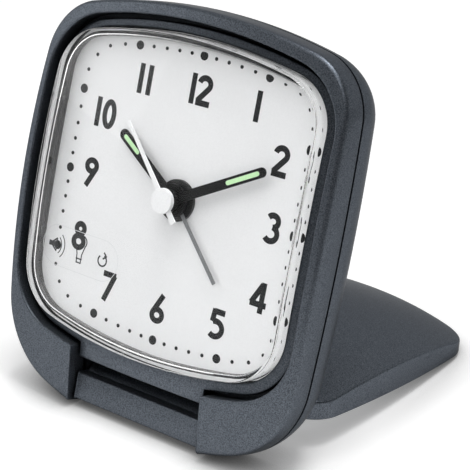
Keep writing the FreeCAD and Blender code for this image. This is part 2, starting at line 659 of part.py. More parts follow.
def lens_springs():
    """Four small coil springs that push the lens's flange out again."""
    radius, wire = size("spring_radius"), size("spring_wire")
    foot = size("spring_foot") + wire
    height = size("flange_back") - wire - foot - 0.02
    helix = Part.makeHelix(height / size("spring_turns"), height, radius)
    section = Part.Wire(Part.makeCircle(wire, Vector(radius, 0, 0), Vector(0, 1, 0)))
    coil = Part.Wire(helix.Edges).makePipeShell([section], True, True)
    coils = []
    for x in (-size("spring_x"), size("spring_x")):
        for y in (-size("spring_y"), size("spring_y")):
            one = coil.copy()
            one.translate(Vector(x, y, foot))
            coils.append(one)
    feature = doc.addObject("Part::Feature", "lens_springs")
    feature.Label = "lens_springs"
    feature.Shape = Part.makeCompound(coils)
    return feature


def lens_contact():
    """A bent leaf under the flange's lower edge: pressing the lens home closes it."""
    body = new_body("lens_contact")
    low, high = size("dial_well_back"), size("contact_top")
    leaf = size("contact_leaf")
    half, foot = size("contact_half"), size("contact_foot")
    pad(body, polygon((-half, low), (-half + foot, low), (-half + 2 * foot, high - leaf),
                      (half - 2 * foot, high - leaf), (half - foot, low), (half, low),
                      (half - 1.5 * foot, high), (-half + 1.5 * foot, high)),
        "sizes.contact_y", "sizes.contact_width", role="XZ_Plane")
    return body


# ---------------------------------------------------------------- dial and hands
def dial():
    body = new_body("dial")
    pad(body, outline("lens", size("lens_half_width") - size("dial_half_width")),
        "sizes.dial_back", "sizes.dial_front - sizes.dial_back")
    pocket(body, circle("sizes.dial_hole"), "sizes.dial_front", "5")
    for x in ("-sizes.spring_x", "sizes.spring_x"):
        for y in ("-sizes.spring_y", "sizes.spring_y"):
            pocket(body, circle("sizes.spring_hole", x, y), "sizes.dial_front", "5")
    return body


def tube(body, outer, inner, back, front):
    """Pad a round tube, or a bar when inner is None."""
    ring = circle(outer) if inner is None else all_of(circle(outer), circle(inner))
    pad(body, ring, back, "(%s) - (%s)" % (front, back))


def dial_bush():
    """The flanged collar pressed through the dial; the pipes of the hands turn in it."""
    body = new_body("dial_bush")
    tube(body, "sizes.bush_radius", "sizes.bush_bore", "sizes.dial_front", "sizes.bush_front")
    tube(body, "sizes.bush_tube", "sizes.bush_bore", "sizes.front_plate_back",
         "sizes.dial_front")
    return body


def blade(name, reach, tail=0.0, tip_round=True, root=None):
    """Draw a hand's blade along its own direction, with a round tip."""
    def draw(sketch):
        turn = math.radians(90 - size(name + "_turn"))
        along = Vector(math.cos(turn), math.sin(turn), 0)
        side = Vector(-along.y, along.x, 0)
        half = size(name + "_width") / 2
        base = half if root is None else root
        end = reach - (half if tip_round else 0)

        def at(distance, out):
            return Vector(along).multiply(distance).add(Vector(side).multiply(out))

        for start, stop in ((at(tail, -base), at(end, -half)), (at(end, half), at(tail, base)),
                            (at(tail, base), at(tail, -base))):
            sketch.addGeometry(Part.LineSegment(start, stop), False)
        if tip_round:
            sketch.addGeometry(Part.Arc(at(end, -half), at(reach, 0), at(end, half)), False)
        else:
            sketch.addGeometry(Part.LineSegment(at(end, -half), at(end, half)), False)
    return draw


def hand(name, hub, bore, boss, root=None, tip_round=True, tail=0.0):
    """A hand: a thin blade, a hub and a boss pressed on its pipe or arbor."""
    body = new_body(name)
    back, front = "sizes.%s_back" % name, "sizes.%s_front" % name
    thick = "%s - %s" % (front, back)
    pad(body, blade(name, size(name + "_length"), tail, tip_round, root), back, thick)
    pad(body, circle(hub), back, "%s + %s" % (thick, boss))
    if bore is not None:
        pocket(body, circle(bore), "sizes.lens_height", "12")
    return body


def lume(name, hand_name, start, stop):
    """The strip of luminous paint that lies on a hand."""
    body = new_body(name)

    def draw(sketch):
        turn = math.radians(90 - size(hand_name + "_turn"))
        along = Vector(math.cos(turn), math.sin(turn), 0)
        side = Vector(-along.y, along.x, 0).multiply(size("lume_width") / 2)
        near, far = Vector(along).multiply(start), Vector(along).multiply(stop)
        corners = [near.sub(side), far.sub(side), far.add(side), near.add(side)]
        for a, b in zip(corners, corners[1:] + corners[:1]):
            sketch.addGeometry(Part.LineSegment(a, b), False)

    pad(body, draw, "sizes.%s_front" % hand_name, "sizes.lume_thickness")
    return body


# ---------------------------------------------------------------- movement
def gear(teeth, module, centre=Vector(0, 0, 0), phase=0.0):
    """Draw a wheel's rim: straight-sided teeth, narrower at the tip, with clearance at the
    root. phase is the direction of one tooth, in turns of a tooth's pitch from +X."""
    root_share, tip_share = 0.27, 0.1

    def draw(sketch):
        pitch = 2 * math.pi / teeth
        pitch_radius = module * teeth / 2
        root = pitch_radius - size("tooth_root") * module
        tip = pitch_radius + size("tooth_tip") * module
        outline_points = []
        for k in range(teeth):
            middle = (k + phase) * pitch
            for radius, share in ((root, -root_share), (tip, -tip_share), (tip, tip_share),
                                  (root, root_share)):
                angle = middle + share * pitch
                outline_points.append((centre.x + radius * math.cos(angle),
                                       centre.y + radius * math.sin(angle)))
        polygon(*outline_points)(sketch)
    return draw


def meshed(teeth, phase, own_centre, other_centre, other_teeth):
    """The phase that puts a gap of the second wheel where the first wheel, of the given phase,
    meets it. The wheels' pitch circles touch on the line between the centres."""
    line = other_centre.sub(own_centre)
    angle = math.atan2(line.y, line.x) / (2 * math.pi)
    ahead = angle * teeth - phase
    return (angle + 0.5) * other_teeth + ahead + 0.5


def arbor(body, place, radius, back, front):
    """Pad a round bar about a worked-out place."""
    pad(body, disc(size(radius), place), back, "(%s) - (%s)" % (front, back))


def movement_plate(name, back, front, bores):
    """A flat plate with bores for the arbors, given as (place, radius) pairs."""
    body = new_body(name)
    pad(body, rectangle("2 * sizes.plate_half_width", "sizes.plate_top - sizes.plate_bottom",
                        "0", "(sizes.plate_top + sizes.plate_bottom) / 2"),
        back, "(%s) - (%s)" % (front, back))
    for place, radius in bores:
        pocket(body, disc(radius, place), front, "3")
    for x in ("-sizes.post_x", "sizes.post_x"):
        for y in ("sizes.post_high", "sizes.post_low"):
            if name == "movement_back_plate":
                pad(body, circle("sizes.pillar_radius", x, y), front,
                    "sizes.front_plate_back - (%s)" % front)
            else:
                pocket(body, circle("sizes.movement_screw_head", x, y), front, "0.8")
            pocket(body, circle("sizes.movement_screw + 0.05", x, y), "0", "12")
    return body


def movement_screws():
    body = new_body("movement_screws")
    for x in ("-sizes.post_x", "sizes.post_x"):
        for y in ("sizes.post_high", "sizes.post_low"):
            pad(body, circle("sizes.movement_screw", x, y), "sizes.movement_screw_tip",
                "sizes.dial_back - 0.8 - sizes.movement_screw_tip")
            pad(body, circle("sizes.movement_screw_head - 0.1", x, y), "sizes.dial_back - 0.8",
                "0.7")
    return body


def toothed(body, levels, teeth, module, centre, phase=0.0):
    """Pad a toothed wheel between the sheet's two levels of that name."""
    pad(body, gear(int(size(teeth)), size(module), centre, phase), "sizes.%s_back" % levels,
        "sizes.%s_front - sizes.%s_back" % (levels, levels))


def wheel(name, teeth, module, centre, phase=0.0):
    """A body that starts as a toothed wheel."""
    body = new_body(name)
    toothed(body, name, teeth, module, centre, phase)
    return body


def mesh(driver, driver_phase, driver_centre, driven, driven_centre):
    """The phase of a driven wheel, both wheels' teeth counts read from the sheet."""
    return meshed(int(size(driver)), driver_phase, driver_centre, driven_centre,
                  int(size(driven)))


def centre_train():
    """The wheels on the dial's axis: alarm, hour and minute pipes round the second arbor,
    and the minute wheel that drives the minute pipe by friction."""
    alarm = wheel("alarm_wheel", "alarm_teeth", "alarm_module", CENTRE)
    tube(alarm, "sizes.alarm_pipe", None, "sizes.alarm_wheel_back", "sizes.alarm_hand_front")
    pocket(alarm, circle("sizes.alarm_pipe_bore"), "5", "12")

    hour = wheel("hour_wheel", "hour_teeth", "coarse_module", CENTRE)
    tube(hour, "sizes.hour_pipe", None, "sizes.hour_wheel_back",
         "sizes.hour_hand_front + sizes.pipe_proud")
    pocket(hour, circle("sizes.hour_pipe_bore"), "5", "12")

    cannon = wheel("cannon_pinion", "cannon_teeth", "coarse_module", CENTRE)
    tube(cannon, "sizes.minute_pipe", None, "sizes.cannon_pipe_back",
         "sizes.minute_hand_front + sizes.pipe_proud")
    pocket(cannon, circle("sizes.minute_pipe_bore"), "5", "14")

    minute = wheel("minute_wheel", "minute_teeth", "third_pinion_module", CENTRE)
    pocket(minute, circle("sizes.minute_pipe + sizes.running_gap"), "5", "14")

    second = wheel("second_wheel", "second_teeth", "fine_module", CENTRE)
    toothed(second, "second_pinion", "second_leaves", "fine_module", CENTRE)
    tube(second, "sizes.second_arbor", None, "sizes.arbor_back", "sizes.second_hand_back")


def side_train():
    """The wheels beside the axis, each with teeth set to mesh at rest: motion wheel, third
    wheel, idler and rotor. Returns the motion wheel's phase."""
    phase = mesh("cannon_teeth", 0, CENTRE, "motion_teeth", MOTION)
    motion = wheel("motion_wheel", "motion_teeth", "coarse_module", MOTION, phase)
    toothed(motion, "motion_pinion", "motion_leaves", "coarse_module", MOTION,
            mesh("hour_teeth", 0, CENTRE, "motion_leaves", MOTION))
    arbor(motion, MOTION, "arbor_radius", "sizes.motion_arbor_back", "sizes.arbor_front")

    third = wheel("third_wheel", "third_teeth", "fine_module", THIRD,
                  mesh("second_leaves", 0, CENTRE, "third_teeth", THIRD))
    toothed(third, "third_pinion", "third_leaves", "third_pinion_module", THIRD,
            mesh("minute_teeth", 0, CENTRE, "third_leaves", THIRD))
    arbor(third, THIRD, "arbor_radius", "sizes.arbor_back", "sizes.arbor_front")

    idler = wheel("idler_wheel", "idler_teeth", "rotor_module", IDLER)
    toothed(idler, "idler_pinion", "idler_leaves", "fine_module", IDLER,
            mesh("second_teeth", 0, CENTRE, "idler_leaves", IDLER))
    arbor(idler, IDLER, "arbor_radius", "sizes.arbor_back", "sizes.idler_arbor_front")

    rotor = wheel("rotor", "rotor_teeth", "rotor_module", ROTOR,
                  mesh("idler_teeth", 0, IDLER, "rotor_teeth", ROTOR))
    pad(rotor, disc(size("rotor_radius"), ROTOR), "sizes.magnet_back", "sizes.magnet_height")
    arbor(rotor, ROTOR, "arbor_radius", "sizes.arbor_back", "sizes.arbor_front")
    return phase


def knob(name, place, teeth, module, phase):
    """A setting knob on the back: a ribbed disc, an arbor through the shell and a pinion."""
    body = new_body(name)
    toothed(body, name + "_pinion", teeth, module, place, phase)
    arbor(body, place, "knob_arbor", "sizes.knob_front - 0.2", "sizes.%s_pinion_front" % name)
    ribs = int(size("knob_ribs"))
    radius, depth = size("knob_radius"), size("knob_rib")
    half_rib = 0.3
    points = []
    for k in range(2 * ribs):
        for turn in (k - half_rib, k + half_rib):
            angle = math.pi * turn / ribs
            reach = radius if k % 2 else radius - depth
            points.append((place.x + reach * math.cos(angle), place.y + reach * math.sin(angle)))
    pad(body, polygon(*points), "sizes.knob_back", "sizes.knob_front - sizes.knob_back")
    return body


def stepper_motor():
    """The stator round the rotor, its core and the coil wound on it."""
    stator = new_body("stator")
    left, inner, right = -9.8, -2.2, 9.8
    pad(stator, polygon((left, -13), (left + 2, -13), (left + 2, -9.6), (right - 2, -9.6),
                        (right - 2, -13), (right, -13), (right, -8.4), (inner, -8.4),
                        (inner, -4.2), (left, -4.2)),
        "sizes.stator_back", "sizes.stator_front - sizes.stator_back")
    pocket(stator, disc(size("rotor_radius") + 0.3, ROTOR), "0", "12")

    core = new_body("coil_core")
    pad(core, rectangle("19.6", "1.4", "0", "sizes.coil_y"), "sizes.stator_front", "0.6")
    coil = new_body("coil")
    section = rectangle("1.5", "0.7", "sizes.coil_y", "sizes.stator_front + 0.3")
    middle = ("sizes.coil_y", "sizes.stator_front + 0.3")
    pad(coil, all_of(circle("sizes.coil_radius", *middle), section), length="12.6",
        role="YZ_Plane", both=True)
    for at in ("-7", "6.3"):
        pad(coil, all_of(circle("sizes.coil_radius + 0.2", *middle), section), at, "0.7",
            role="YZ_Plane")


def circuit():
    """The board with its chip, quartz can and lamp, and the buzzer beside the movement."""
    board = new_body("circuit_board")
    pad(board, rectangle("sizes.board_width", "sizes.board_height", "sizes.board_x",
                         "sizes.board_y"), "sizes.board_back", "0.8")
    chip = new_body("chip")
    pad(chip, circle("2.2", "sizes.board_x", "sizes.board_y"), "sizes.board_back - 0.8", "0.8")
    can = new_body("quartz_can")
    pad(can, circle("1", "sizes.board_x + 2", "sizes.board_back - 1.1"), "9", "6",
        role="XZ_Plane")
    lamp = new_body("lamp")
    pad(lamp, circle("0.9", "sizes.board_x - 2", "sizes.board_y + 8"), "sizes.board_back + 0.8",
        "2")
    pad(lamp, circle("1.15", "sizes.board_x - 2", "sizes.board_y + 8"),
        "sizes.board_back + 0.8", "0.5")
    buzzer = new_body("buzzer")
    pad(buzzer, circle("4.9", "sizes.buzzer_x", "sizes.buzzer_y"),
        "sizes.shell_inner_back + 0.2", "0.3")
    pad(buzzer, circle("4.2", "sizes.buzzer_x", "sizes.buzzer_y"),
        "sizes.shell_inner_back + 0.5", "1.4")


# ---------------------------------------------------------------- battery, door and switch
def battery():
    body = new_body("battery")
    pad(body, circle("sizes.battery_radius", "sizes.battery_y", "sizes.battery_z"),
        "-sizes.battery_length / 2 - 0.15", "sizes.battery_length", role="YZ_Plane")
    pad(body, circle("1.9", "sizes.battery_y", "sizes.battery_z"),
        "sizes.battery_length / 2 - 0.15", "0.8", role="YZ_Plane")
    return body


def battery_contacts():
    plates = (("battery_contact_minus", -1, 1), ("battery_contact_plus", 1, -1))
    for name, side, inwards in plates:
        body = new_body(name)
        at = "sizes.bay_half_width - 0.3" if side > 0 else "-sizes.bay_half_width"
        pad(body, rectangle("9", "9", "sizes.battery_y", "sizes.battery_z"), at, "0.3",
            role="YZ_Plane")
        if side < 0:
            pad(body, circle("2.2", "sizes.battery_y", "sizes.battery_z"),
                "0.3 - sizes.bay_half_width", "0.5", role="YZ_Plane")


def battery_door():
    """A flat door that slides up out of its seat. Its upper edge follows the shell's slope."""
    body = new_body("battery_door")
    back, thick = size("shell_back"), size("door_thickness")
    gap = size("door_gap")
    loft(body, [(outline("case", back_inset(back) + gap), "sizes.shell_back"),
                (outline("case", back_inset(back + thick) + gap), "sizes.shell_back + %r" % thick)])
    half, low = size("door_half_width"), size("door_bottom")
    for corners in (((-50, low), (50, low), (50, -50), (-50, -50)),
                    ((half, -50), (50, -50), (50, 50), (half, 50)),
                    ((-half, -50), (-half, 50), (-50, 50), (-50, -50))):
        pocket(body, polygon(*corners), "0", "20")
    for k in range(4):
        y = low + 1.2 + 0.8 * k
        pocket(body, polygon((-4, y), (4, y), (4, y + 0.4), (-4, y + 0.4)),
               "sizes.shell_back + 0.3", "1")
    return body


def alarm_switch():
    """The on and off slide: a thumb piece through the back and a plate behind its slot."""
    body = new_body("alarm_switch")
    x = "sizes.switch_x - sizes.switch_travel / 2"
    pad(body, rectangle("3.2", "2.6", x, "sizes.switch_y"), "sizes.shell_back - 0.9",
        "sizes.shell_inner_back + 0.1 - sizes.shell_back + 0.9")
    pad(body, rectangle("6.4", "4.6", x, "sizes.switch_y"), "sizes.shell_inner_back + 0.1",
        "0.7")
    return body


# ---------------------------------------------------------------- build, place and write
CENTRE = Vector(0, 0, 0)
MOTION = around(size("motion_distance"), size("motion_turn"))
TIME_KNOB = around(size("time_knob_distance"), size("motion_turn"))
ALARM_KNOB = around(size("alarm_knob_distance"), size("alarm_knob_turn"))
THIRD = around(size("third_distance"), size("third_turn"))
IDLER = around(size("idler_distance"), size("rotor_turn"))
ROTOR = around(size("rotor_distance"), size("rotor_turn"))
# The knuckle and arm's section, as (along the cover, up) from the pin: the knuckle's front and
# underside, then the arm's underside out to the cover's wall and back over its top.
ARM = ((-0.61, 2.6), (-1.47, -2.17), (1.6, -2.62), (2.7, -1.6), (4.6, 2.99), (10.6, 2.99),
       (10.6, 5.6), (4.6, 4.3), (3.5, 3.25), (2.05, 2.12))

front_bezel()
rear_shell()
stand_cover()
hinge_pin()
case_screws()
lens()
lens_springs()
lens_contact()
dial()
dial_bush()
hand("alarm_hand", "sizes.alarm_hub", "sizes.alarm_pipe", "0", tip_round=False)
hand("hour_hand", "sizes.hour_hub", "sizes.hour_pipe", "sizes.hour_boss")
hand("minute_hand", "sizes.minute_hub", "sizes.minute_pipe", "sizes.minute_boss", root=1.3)
hand("second_hand", "sizes.second_hub_radius", None, "sizes.second_boss", root=0.55, tail=-4.4)
lume("hour_lume", "hour_hand", 10.9, 15.4)
lume("minute_lume", "minute_hand", 12.2, 19.2)
centre_train()
motion_phase = side_train()
knob("time_knob", TIME_KNOB, "time_knob_teeth", "coarse_module",
     mesh("motion_teeth", motion_phase, MOTION, "time_knob_teeth", TIME_KNOB))
knob("alarm_knob", ALARM_KNOB, "alarm_knob_teeth", "alarm_module",
     mesh("alarm_teeth", 0, CENTRE, "alarm_knob_teeth", ALARM_KNOB))
bore = size("arbor_radius") + size("running_gap")
movement_plate("movement_front_plate", "sizes.front_plate_back", "sizes.dial_back",
               [(THIRD, bore), (ROTOR, bore), (MOTION, bore), (CENTRE, size("bush_tube"))])
knob_bore = size("knob_arbor") + size("running_gap")
movement_plate("movement_back_plate", "sizes.back_plate_back", "sizes.back_plate_front",
               [(THIRD, bore), (IDLER, bore), (ROTOR, bore),
                (CENTRE, size("second_arbor") + size("running_gap")),
                (TIME_KNOB, knob_bore), (ALARM_KNOB, knob_bore)])
movement_screws()
stepper_motor()
circuit()
battery()
battery_contacts()
battery_door()
alarm_switch()
doc.recompute()

tools = ("bezel_ring", "shell_cavity", "cover_hollow", "lens_hollow")
parts = [thing for thing in doc.Objects
         if thing.TypeId in ("PartDesign::Body", "Part::Feature") and thing.Label not in tools]

# Lean the clock back, stand it on the floor and put the origin under the middle of its box.
leant = Placement(Vector(0, 0, DIAL_HEIGHT), Rotation(X_AXIS, 90 - LEAN))
for part in parts:
    part.Placement = leant.multiply(part.Placement)
doc.recompute()
box = FreeCAD.BoundBox()
for part in parts:
    box.add(part.Shape.optimalBoundingBox(True, False))
middle = Placement(Vector(0, -(box.YMin + box.YMax) / 2, 0), Rotation())
for part in parts:
    part.Placement = middle.multiply(part.Placement)
doc.recompute()

for thing in doc.Objects:
    if "Invalid" in thing.State or "Error" in thing.State:
        raise ValueError("%s failed: %s" % (thing.Label, thing.State))
for part in parts:
    shape = part.Shape
    if shape.isNull() or not shape.isValid() or not shape.Solids:
        raise ValueError("%s has no sound shape" % part.Label)
    shape.exportStep("parts/%s.step" % part.Label)
    print("%-24s %d solids %9.2f mm3" % (part.Label, len(shape.Solids), shape.Volume))
print("lean %.4f degrees, dial centre at Y %.4f, Z %.4f" % (LEAN, middle.Base.y, DIAL_HEIGHT))
print("box", box)
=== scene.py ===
"""Folding travel alarm clock: the looks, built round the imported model.

Shapes are drawn in millimetres in the dial's own frame, X to the right, Y up the dial and Z out
of it, and from_dial carries them to where the clock stands.
"""
import json
import math

import bmesh
import bpy
import numpy as np
from bpy.props import FloatProperty, FloatVectorProperty, PointerProperty
from bpy.types import Operator, Panel, PropertyGroup
from mathutils import Matrix, Vector


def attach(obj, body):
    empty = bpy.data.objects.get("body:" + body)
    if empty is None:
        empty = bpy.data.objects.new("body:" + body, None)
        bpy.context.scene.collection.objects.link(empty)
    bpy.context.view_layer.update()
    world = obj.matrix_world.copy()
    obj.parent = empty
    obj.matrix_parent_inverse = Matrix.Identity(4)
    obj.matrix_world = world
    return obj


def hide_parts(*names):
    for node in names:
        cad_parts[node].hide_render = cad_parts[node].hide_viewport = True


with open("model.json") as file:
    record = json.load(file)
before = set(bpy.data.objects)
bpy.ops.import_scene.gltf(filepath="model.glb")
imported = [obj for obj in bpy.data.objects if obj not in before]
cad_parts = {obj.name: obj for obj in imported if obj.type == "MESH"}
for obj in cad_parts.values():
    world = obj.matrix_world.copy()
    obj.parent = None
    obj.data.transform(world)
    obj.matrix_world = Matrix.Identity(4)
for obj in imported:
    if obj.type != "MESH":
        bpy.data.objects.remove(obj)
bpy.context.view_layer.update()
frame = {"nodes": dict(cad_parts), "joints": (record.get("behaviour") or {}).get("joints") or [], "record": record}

bl_info = {
    "name": "Folding travel alarm clock",
    "version": (1, 0, 0),
    "blender": (4, 5, 0),
    "location": "3D View > Sidebar > Clock",
    "description": "Builds a folding travel alarm clock, its materials and a small studio",
    "category": "Add Mesh",
}

MM = 0.001
MERGE_WITHIN = 1e-6
JOINTS = {joint["name"]: joint for joint in frame["joints"]}
DIAL_CENTRE = np.array(JOINTS["minute_turn"]["pos_m"])
ACROSS = np.array((1.0, 0.0, 0.0))
OUT = np.array(JOINTS["minute_turn"]["axis"])
UP = np.cross(OUT, ACROSS)
DIAL_AXES = np.stack((ACROSS, UP, OUT))
HINGE = np.array(JOINTS["cover_hinge"]["pos_m"])
COVER_TURN = math.radians(360 + JOINTS["cover_hinge"]["range_deg"][0])
QUARTER = math.pi / 2

# Rounded outlines in millimetres: four shallow arcs joined by four corner arcs. Each has its
# reach to the sides, up and down, the radii of its top, bottom and side arcs and of its top and
# bottom corners, and how high its widest place is.
OUTLINES = {
    "case": (33.13, 33.14, 42.4, 108, 70.5, 400, 11.2, 16.1, -1.5),
    "rim": (31.0, 30.7, 31.1, 98, 104, 600, 11.8, 11.5, 0),
    "lens": (28.1, 28.0, 28.0, 100, 100, 500, 8.9, 9.5, 0),
    "cover": (30.4, 29.3, 29.3, 110, 100, 250, 9.0, 6.5, 0),
    "track": (25.0, 25.15, 24.96, 115, 115, 900, 8.0, 8.0, 0),
}
# Half the width of the gap between the lobes.
SLOT = 14.8
BODY_OF_CAD = {node: body for body, nodes in frame["record"]["behaviour"]["bodies"].items()
               for node in nodes}


# ---- places and outlines
def from_dial(points):
    """Millimetres in the dial's frame to metres in the clock's own frame."""
    return DIAL_CENTRE + points @ DIAL_AXES * MM


def clockwise(angle):
    """The matrix that turns rows of plane points clockwise by an angle in radians."""
    return np.array(((math.cos(angle), -math.sin(angle)), (math.sin(angle), math.cos(angle))))


def from_cover(points):
    """Millimetres from the hinge pin of the shut cover, (across, along, up), to metres with the
    cover opened: turned back about the pin by the joint's travel, and never below the floor."""
    opened = np.concatenate((points[..., :1], points[..., 1:] @ clockwise(COVER_TURN)), -1)
    opened = HINGE + opened @ DIAL_AXES * MM
    opened[..., 2] = np.maximum(opened[..., 2], 0)
    return opened


def corner_centre(side_centre, side_radius, cap_centre, cap_radius, corner):
    """The centre of a corner arc that touches two arcs from inside: where a circle of radius
    side_radius - corner about the one meets cap_radius - corner about the other."""
    near, far = side_radius - corner, cap_radius - corner
    gap = cap_centre - side_centre
    distance = np.hypot(*gap)
    along = (near**2 - far**2 + distance**2) / (2 * distance)
    across = math.sqrt(near**2 - along**2)
    middle = side_centre + gap * along / distance
    normal = np.array((-gap[1], gap[0])) * across / distance
    return max(middle + normal, middle - normal, key=lambda point: point[0])


def outline(name, slot=None, fine=1):
    """Points round a named outline and the outward normals there, anticlockwise from the
    bottom. With slot given, the bottom's middle is left out as far as X = +-slot."""
    (half, top, bottom, top_arc, bottom_arc, side_arc, top_corner, bottom_corner,
     widest) = OUTLINES[name]
    side = np.array((half - side_arc, widest))
    over, under = np.array((0, top - top_arc)), np.array((0, bottom_arc - bottom))
    high = corner_centre(side, side_arc, over, top_arc, top_corner)
    low = corner_centre(side, side_arc, under, bottom_arc, bottom_corner)

    def facing(start, end):
        return math.atan2(*(end - start)[::-1])

    bottom_end, side_start = facing(under, low), facing(side, low)
    side_end, top_end = facing(side, high), facing(over, high)
    first = -QUARTER if slot is None else -math.acos(slot / bottom_arc)
    arcs = [(under, bottom_arc, first, bottom_end, 26 if slot is None else 14),
            (low, bottom_corner, bottom_end, side_start, 22),
            (side, side_arc, side_start, side_end, 26),
            (high, top_corner, side_end, top_end, 22),
            (over, top_arc, top_end, QUARTER, 22)]
    points, normals = [], []
    for centre, radius, start, end, count in arcs:
        turn = np.linspace(start, end, count * fine, endpoint=False)
        normal = np.stack((np.cos(turn), np.sin(turn)), -1)
        points.append(centre + radius * normal)
        normals.append(normal)
    points = np.concatenate(points)
    normals = np.concatenate(normals)
    mirrored = slice(None, 0, -1) if slot is None else slice(None, None, -1)
    return (np.concatenate((points, ((0, top),), points[mirrored] * (-1, 1))),
            np.concatenate((normals, ((0, 1),), normals[mirrored] * (-1, 1))))


def dome(points, height, radius):
    """Height of a shallow sphere over the dial: height - radius + sqrt(radius^2 - distance^2)."""
    squared = np.sum(np.asarray(points)[..., :2] ** 2, -1)
    return height - radius + np.sqrt(radius**2 - squared)


def lifted(points, height):
    """Plane points with a height, which is a number or one value for each point."""
    return np.concatenate((points, np.broadcast_to(height, points.shape[:-1])[..., None]), -1)


def inset(border, out, distance):
    """An outline moved inwards by a distance, a number or one value for each point."""
    return border - out * np.broadcast_to(distance, len(out))[:, None]


def at_bearing(points, values, bearing):
    """An outline's values where rays from the middle at these bearings, in radians, cross it."""
    known = np.arctan2(*points.T[::-1])
    return np.stack([np.interp(bearing, known, column, period=2 * math.pi)
                     for column in values.T], -1)


def dome_loops(start, end, crown, radius, shares):
    """Loops on a dome, each a share of the way from start to end. A start of 0 is the pole."""
    between = [start * (1 - share) + end * share for share in shares]
    return [lifted(loop, dome(loop, crown, radius)) for loop in between]


def edge_loops(border, out, middle, height, radius, start, end, steps):
    """Loops over a round edge: the outline moved outwards by middle + radius * sin(turn), at
    height + radius * cos(turn), while turn goes from start to end radians."""
    loops = []
    for share in np.linspace(0, 1, steps):
        turn = start * (1 - share) + end * share
        loops.append(lifted(inset(border, out, -middle - radius * np.sin(turn)),
                            height + radius * np.cos(turn)))
    return loops


def domed_front(border, out, crown, radius, edge, rings, steps):
    """Loops from a dome's pole out to its border, and over a round edge to the wall."""
    lean = np.arcsin(np.hypot(*border.T) / radius)
    loops = dome_loops(0, inset(border, out, edge * (1 - np.sin(lean))), crown, radius,
                       np.linspace(0, 1, rings))
    centre = loops[-1][:, 2] - edge * np.cos(lean)
    return loops + edge_loops(border, out, -edge, centre, edge, lean, QUARTER, steps)[1:]


# ---- meshes
def grid_faces(rows, columns, round_rows=False, round_columns=False):
    """Quads between neighbouring points of a rows by columns grid, joined up where round."""
    down = np.arange(rows if round_rows else rows - 1)
    right = np.arange(columns if round_columns else columns - 1)
    row, column = np.meshgrid(down, right, indexing="ij")
    row, column = row.ravel(), column.ravel()
    below, beside = (row + 1) % rows, (column + 1) % columns
    return np.stack((row * columns + column, row * columns + beside,
                     below * columns + beside, below * columns + column), -1)


def new_piece(name, parts, body, slot, stands_for=(), material=None, sharp=35, place=from_dial):
    """One mesh object from (points in millimetres, faces) parts, riding on a body, with the finish of its record
    slot where no material is given."""
    vertices, faces, start = [], [], 0
    for points, part_faces in parts:
        vertices.append(place(points).reshape(-1, 3))
        faces += [[int(corner) + start for corner in face] for face in part_faces]
        start += len(vertices[-1])
    mesh = bpy.data.meshes.new(name)
    mesh.from_pydata(np.concatenate(vertices).tolist(), [], faces)
    finish_piece(name, mesh, body, slot, stands_for, material, sharp)


def finish_piece(name, mesh, body, slot, stands_for, material, sharp, flatten=False):
    """Merge doubles and, to flatten, faces in one plane; turn faces outwards, shade edges flatter
    than sharp degrees smooth, and hand the mesh to its body."""
    work = bmesh.new()
    work.from_mesh(mesh)
    bmesh.ops.remove_doubles(work, verts=work.verts, dist=MERGE_WITHIN)
    if flatten:
        bmesh.ops.dissolve_limit(work, angle_limit=math.radians(0.2), verts=work.verts,
                                 edges=work.edges, delimit={"NORMAL"})
    bmesh.ops.recalc_face_normals(work, faces=work.faces)
    work.to_mesh(mesh)
    work.free()
    mesh.polygons.foreach_set("use_smooth", np.ones(len(mesh.polygons), bool))
    mesh.set_sharp_from_angle(angle=math.radians(sharp))
    mesh.materials.clear()
    mesh.materials.append(material or finish_of(slot))
    piece = bpy.data.objects.new(name, mesh)
    bpy.context.scene.collection.objects.link(piece)
    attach(piece, body)
    if stands_for:
        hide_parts(*stands_for)
    return piece


def ringed(loops, round_profile=False):
    """A closed outline drawn at several places, loops of shape (profile, outline, 3), skinned
    with quads; ends whose points all meet close as poles when doubles are merged."""
    profile, around = loops.shape[:2]
    return loops, grid_faces(profile, around, round_profile, True)


def rounded(radius, start, end, steps=6):
    """Offsets along a round edge: (radius * sin, radius * cos) from start to end degrees."""
    turn = np.radians(np.linspace(start, end, steps))
    return radius * np.sin(turn), radius * np.cos(turn)


def softened(name, node, slot, width, sharp=35):
    """A copy of a CAD node with its loose triangles joined, its flat faces merged and its edges
    rounded by width millimetres. It stands for the node."""
    mesh = frame["nodes"][node].data.copy()
    if mesh.has_custom_normals:
        mesh.attributes.remove(mesh.attributes["custom_normal"])
    piece = finish_piece(name, mesh, BODY_OF_CAD[node], slot, (node,), None, sharp, flatten=True)
    bevel = piece.modifiers.new("rounded edges", "BEVEL")
    bevel.width = width * MM
    bevel.segments = 3
    bevel.limit_method = "ANGLE"
    bevel.angle_limit = math.radians(sharp)
    bevel.harden_normals = True


def offset_loop(points, distance):
    """A closed plane loop moved outwards by distance: each point along the mean of the normals
    of its two sides, lengthened where the corner is sharper. Loops run anticlockwise."""
    before = points - np.roll(points, 1, 0)
    after = np.roll(points, -1, 0) - points
    sides = [np.stack((side[:, 1], -side[:, 0]), -1) for side in (before, after)]
    first, second = [side / np.maximum(np.hypot(*side.T), 1e-9)[:, None] for side in sides]
    mean = first + second
    return points + distance * 2 * mean / np.maximum(np.sum(mean**2, -1), 0.5)[:, None]


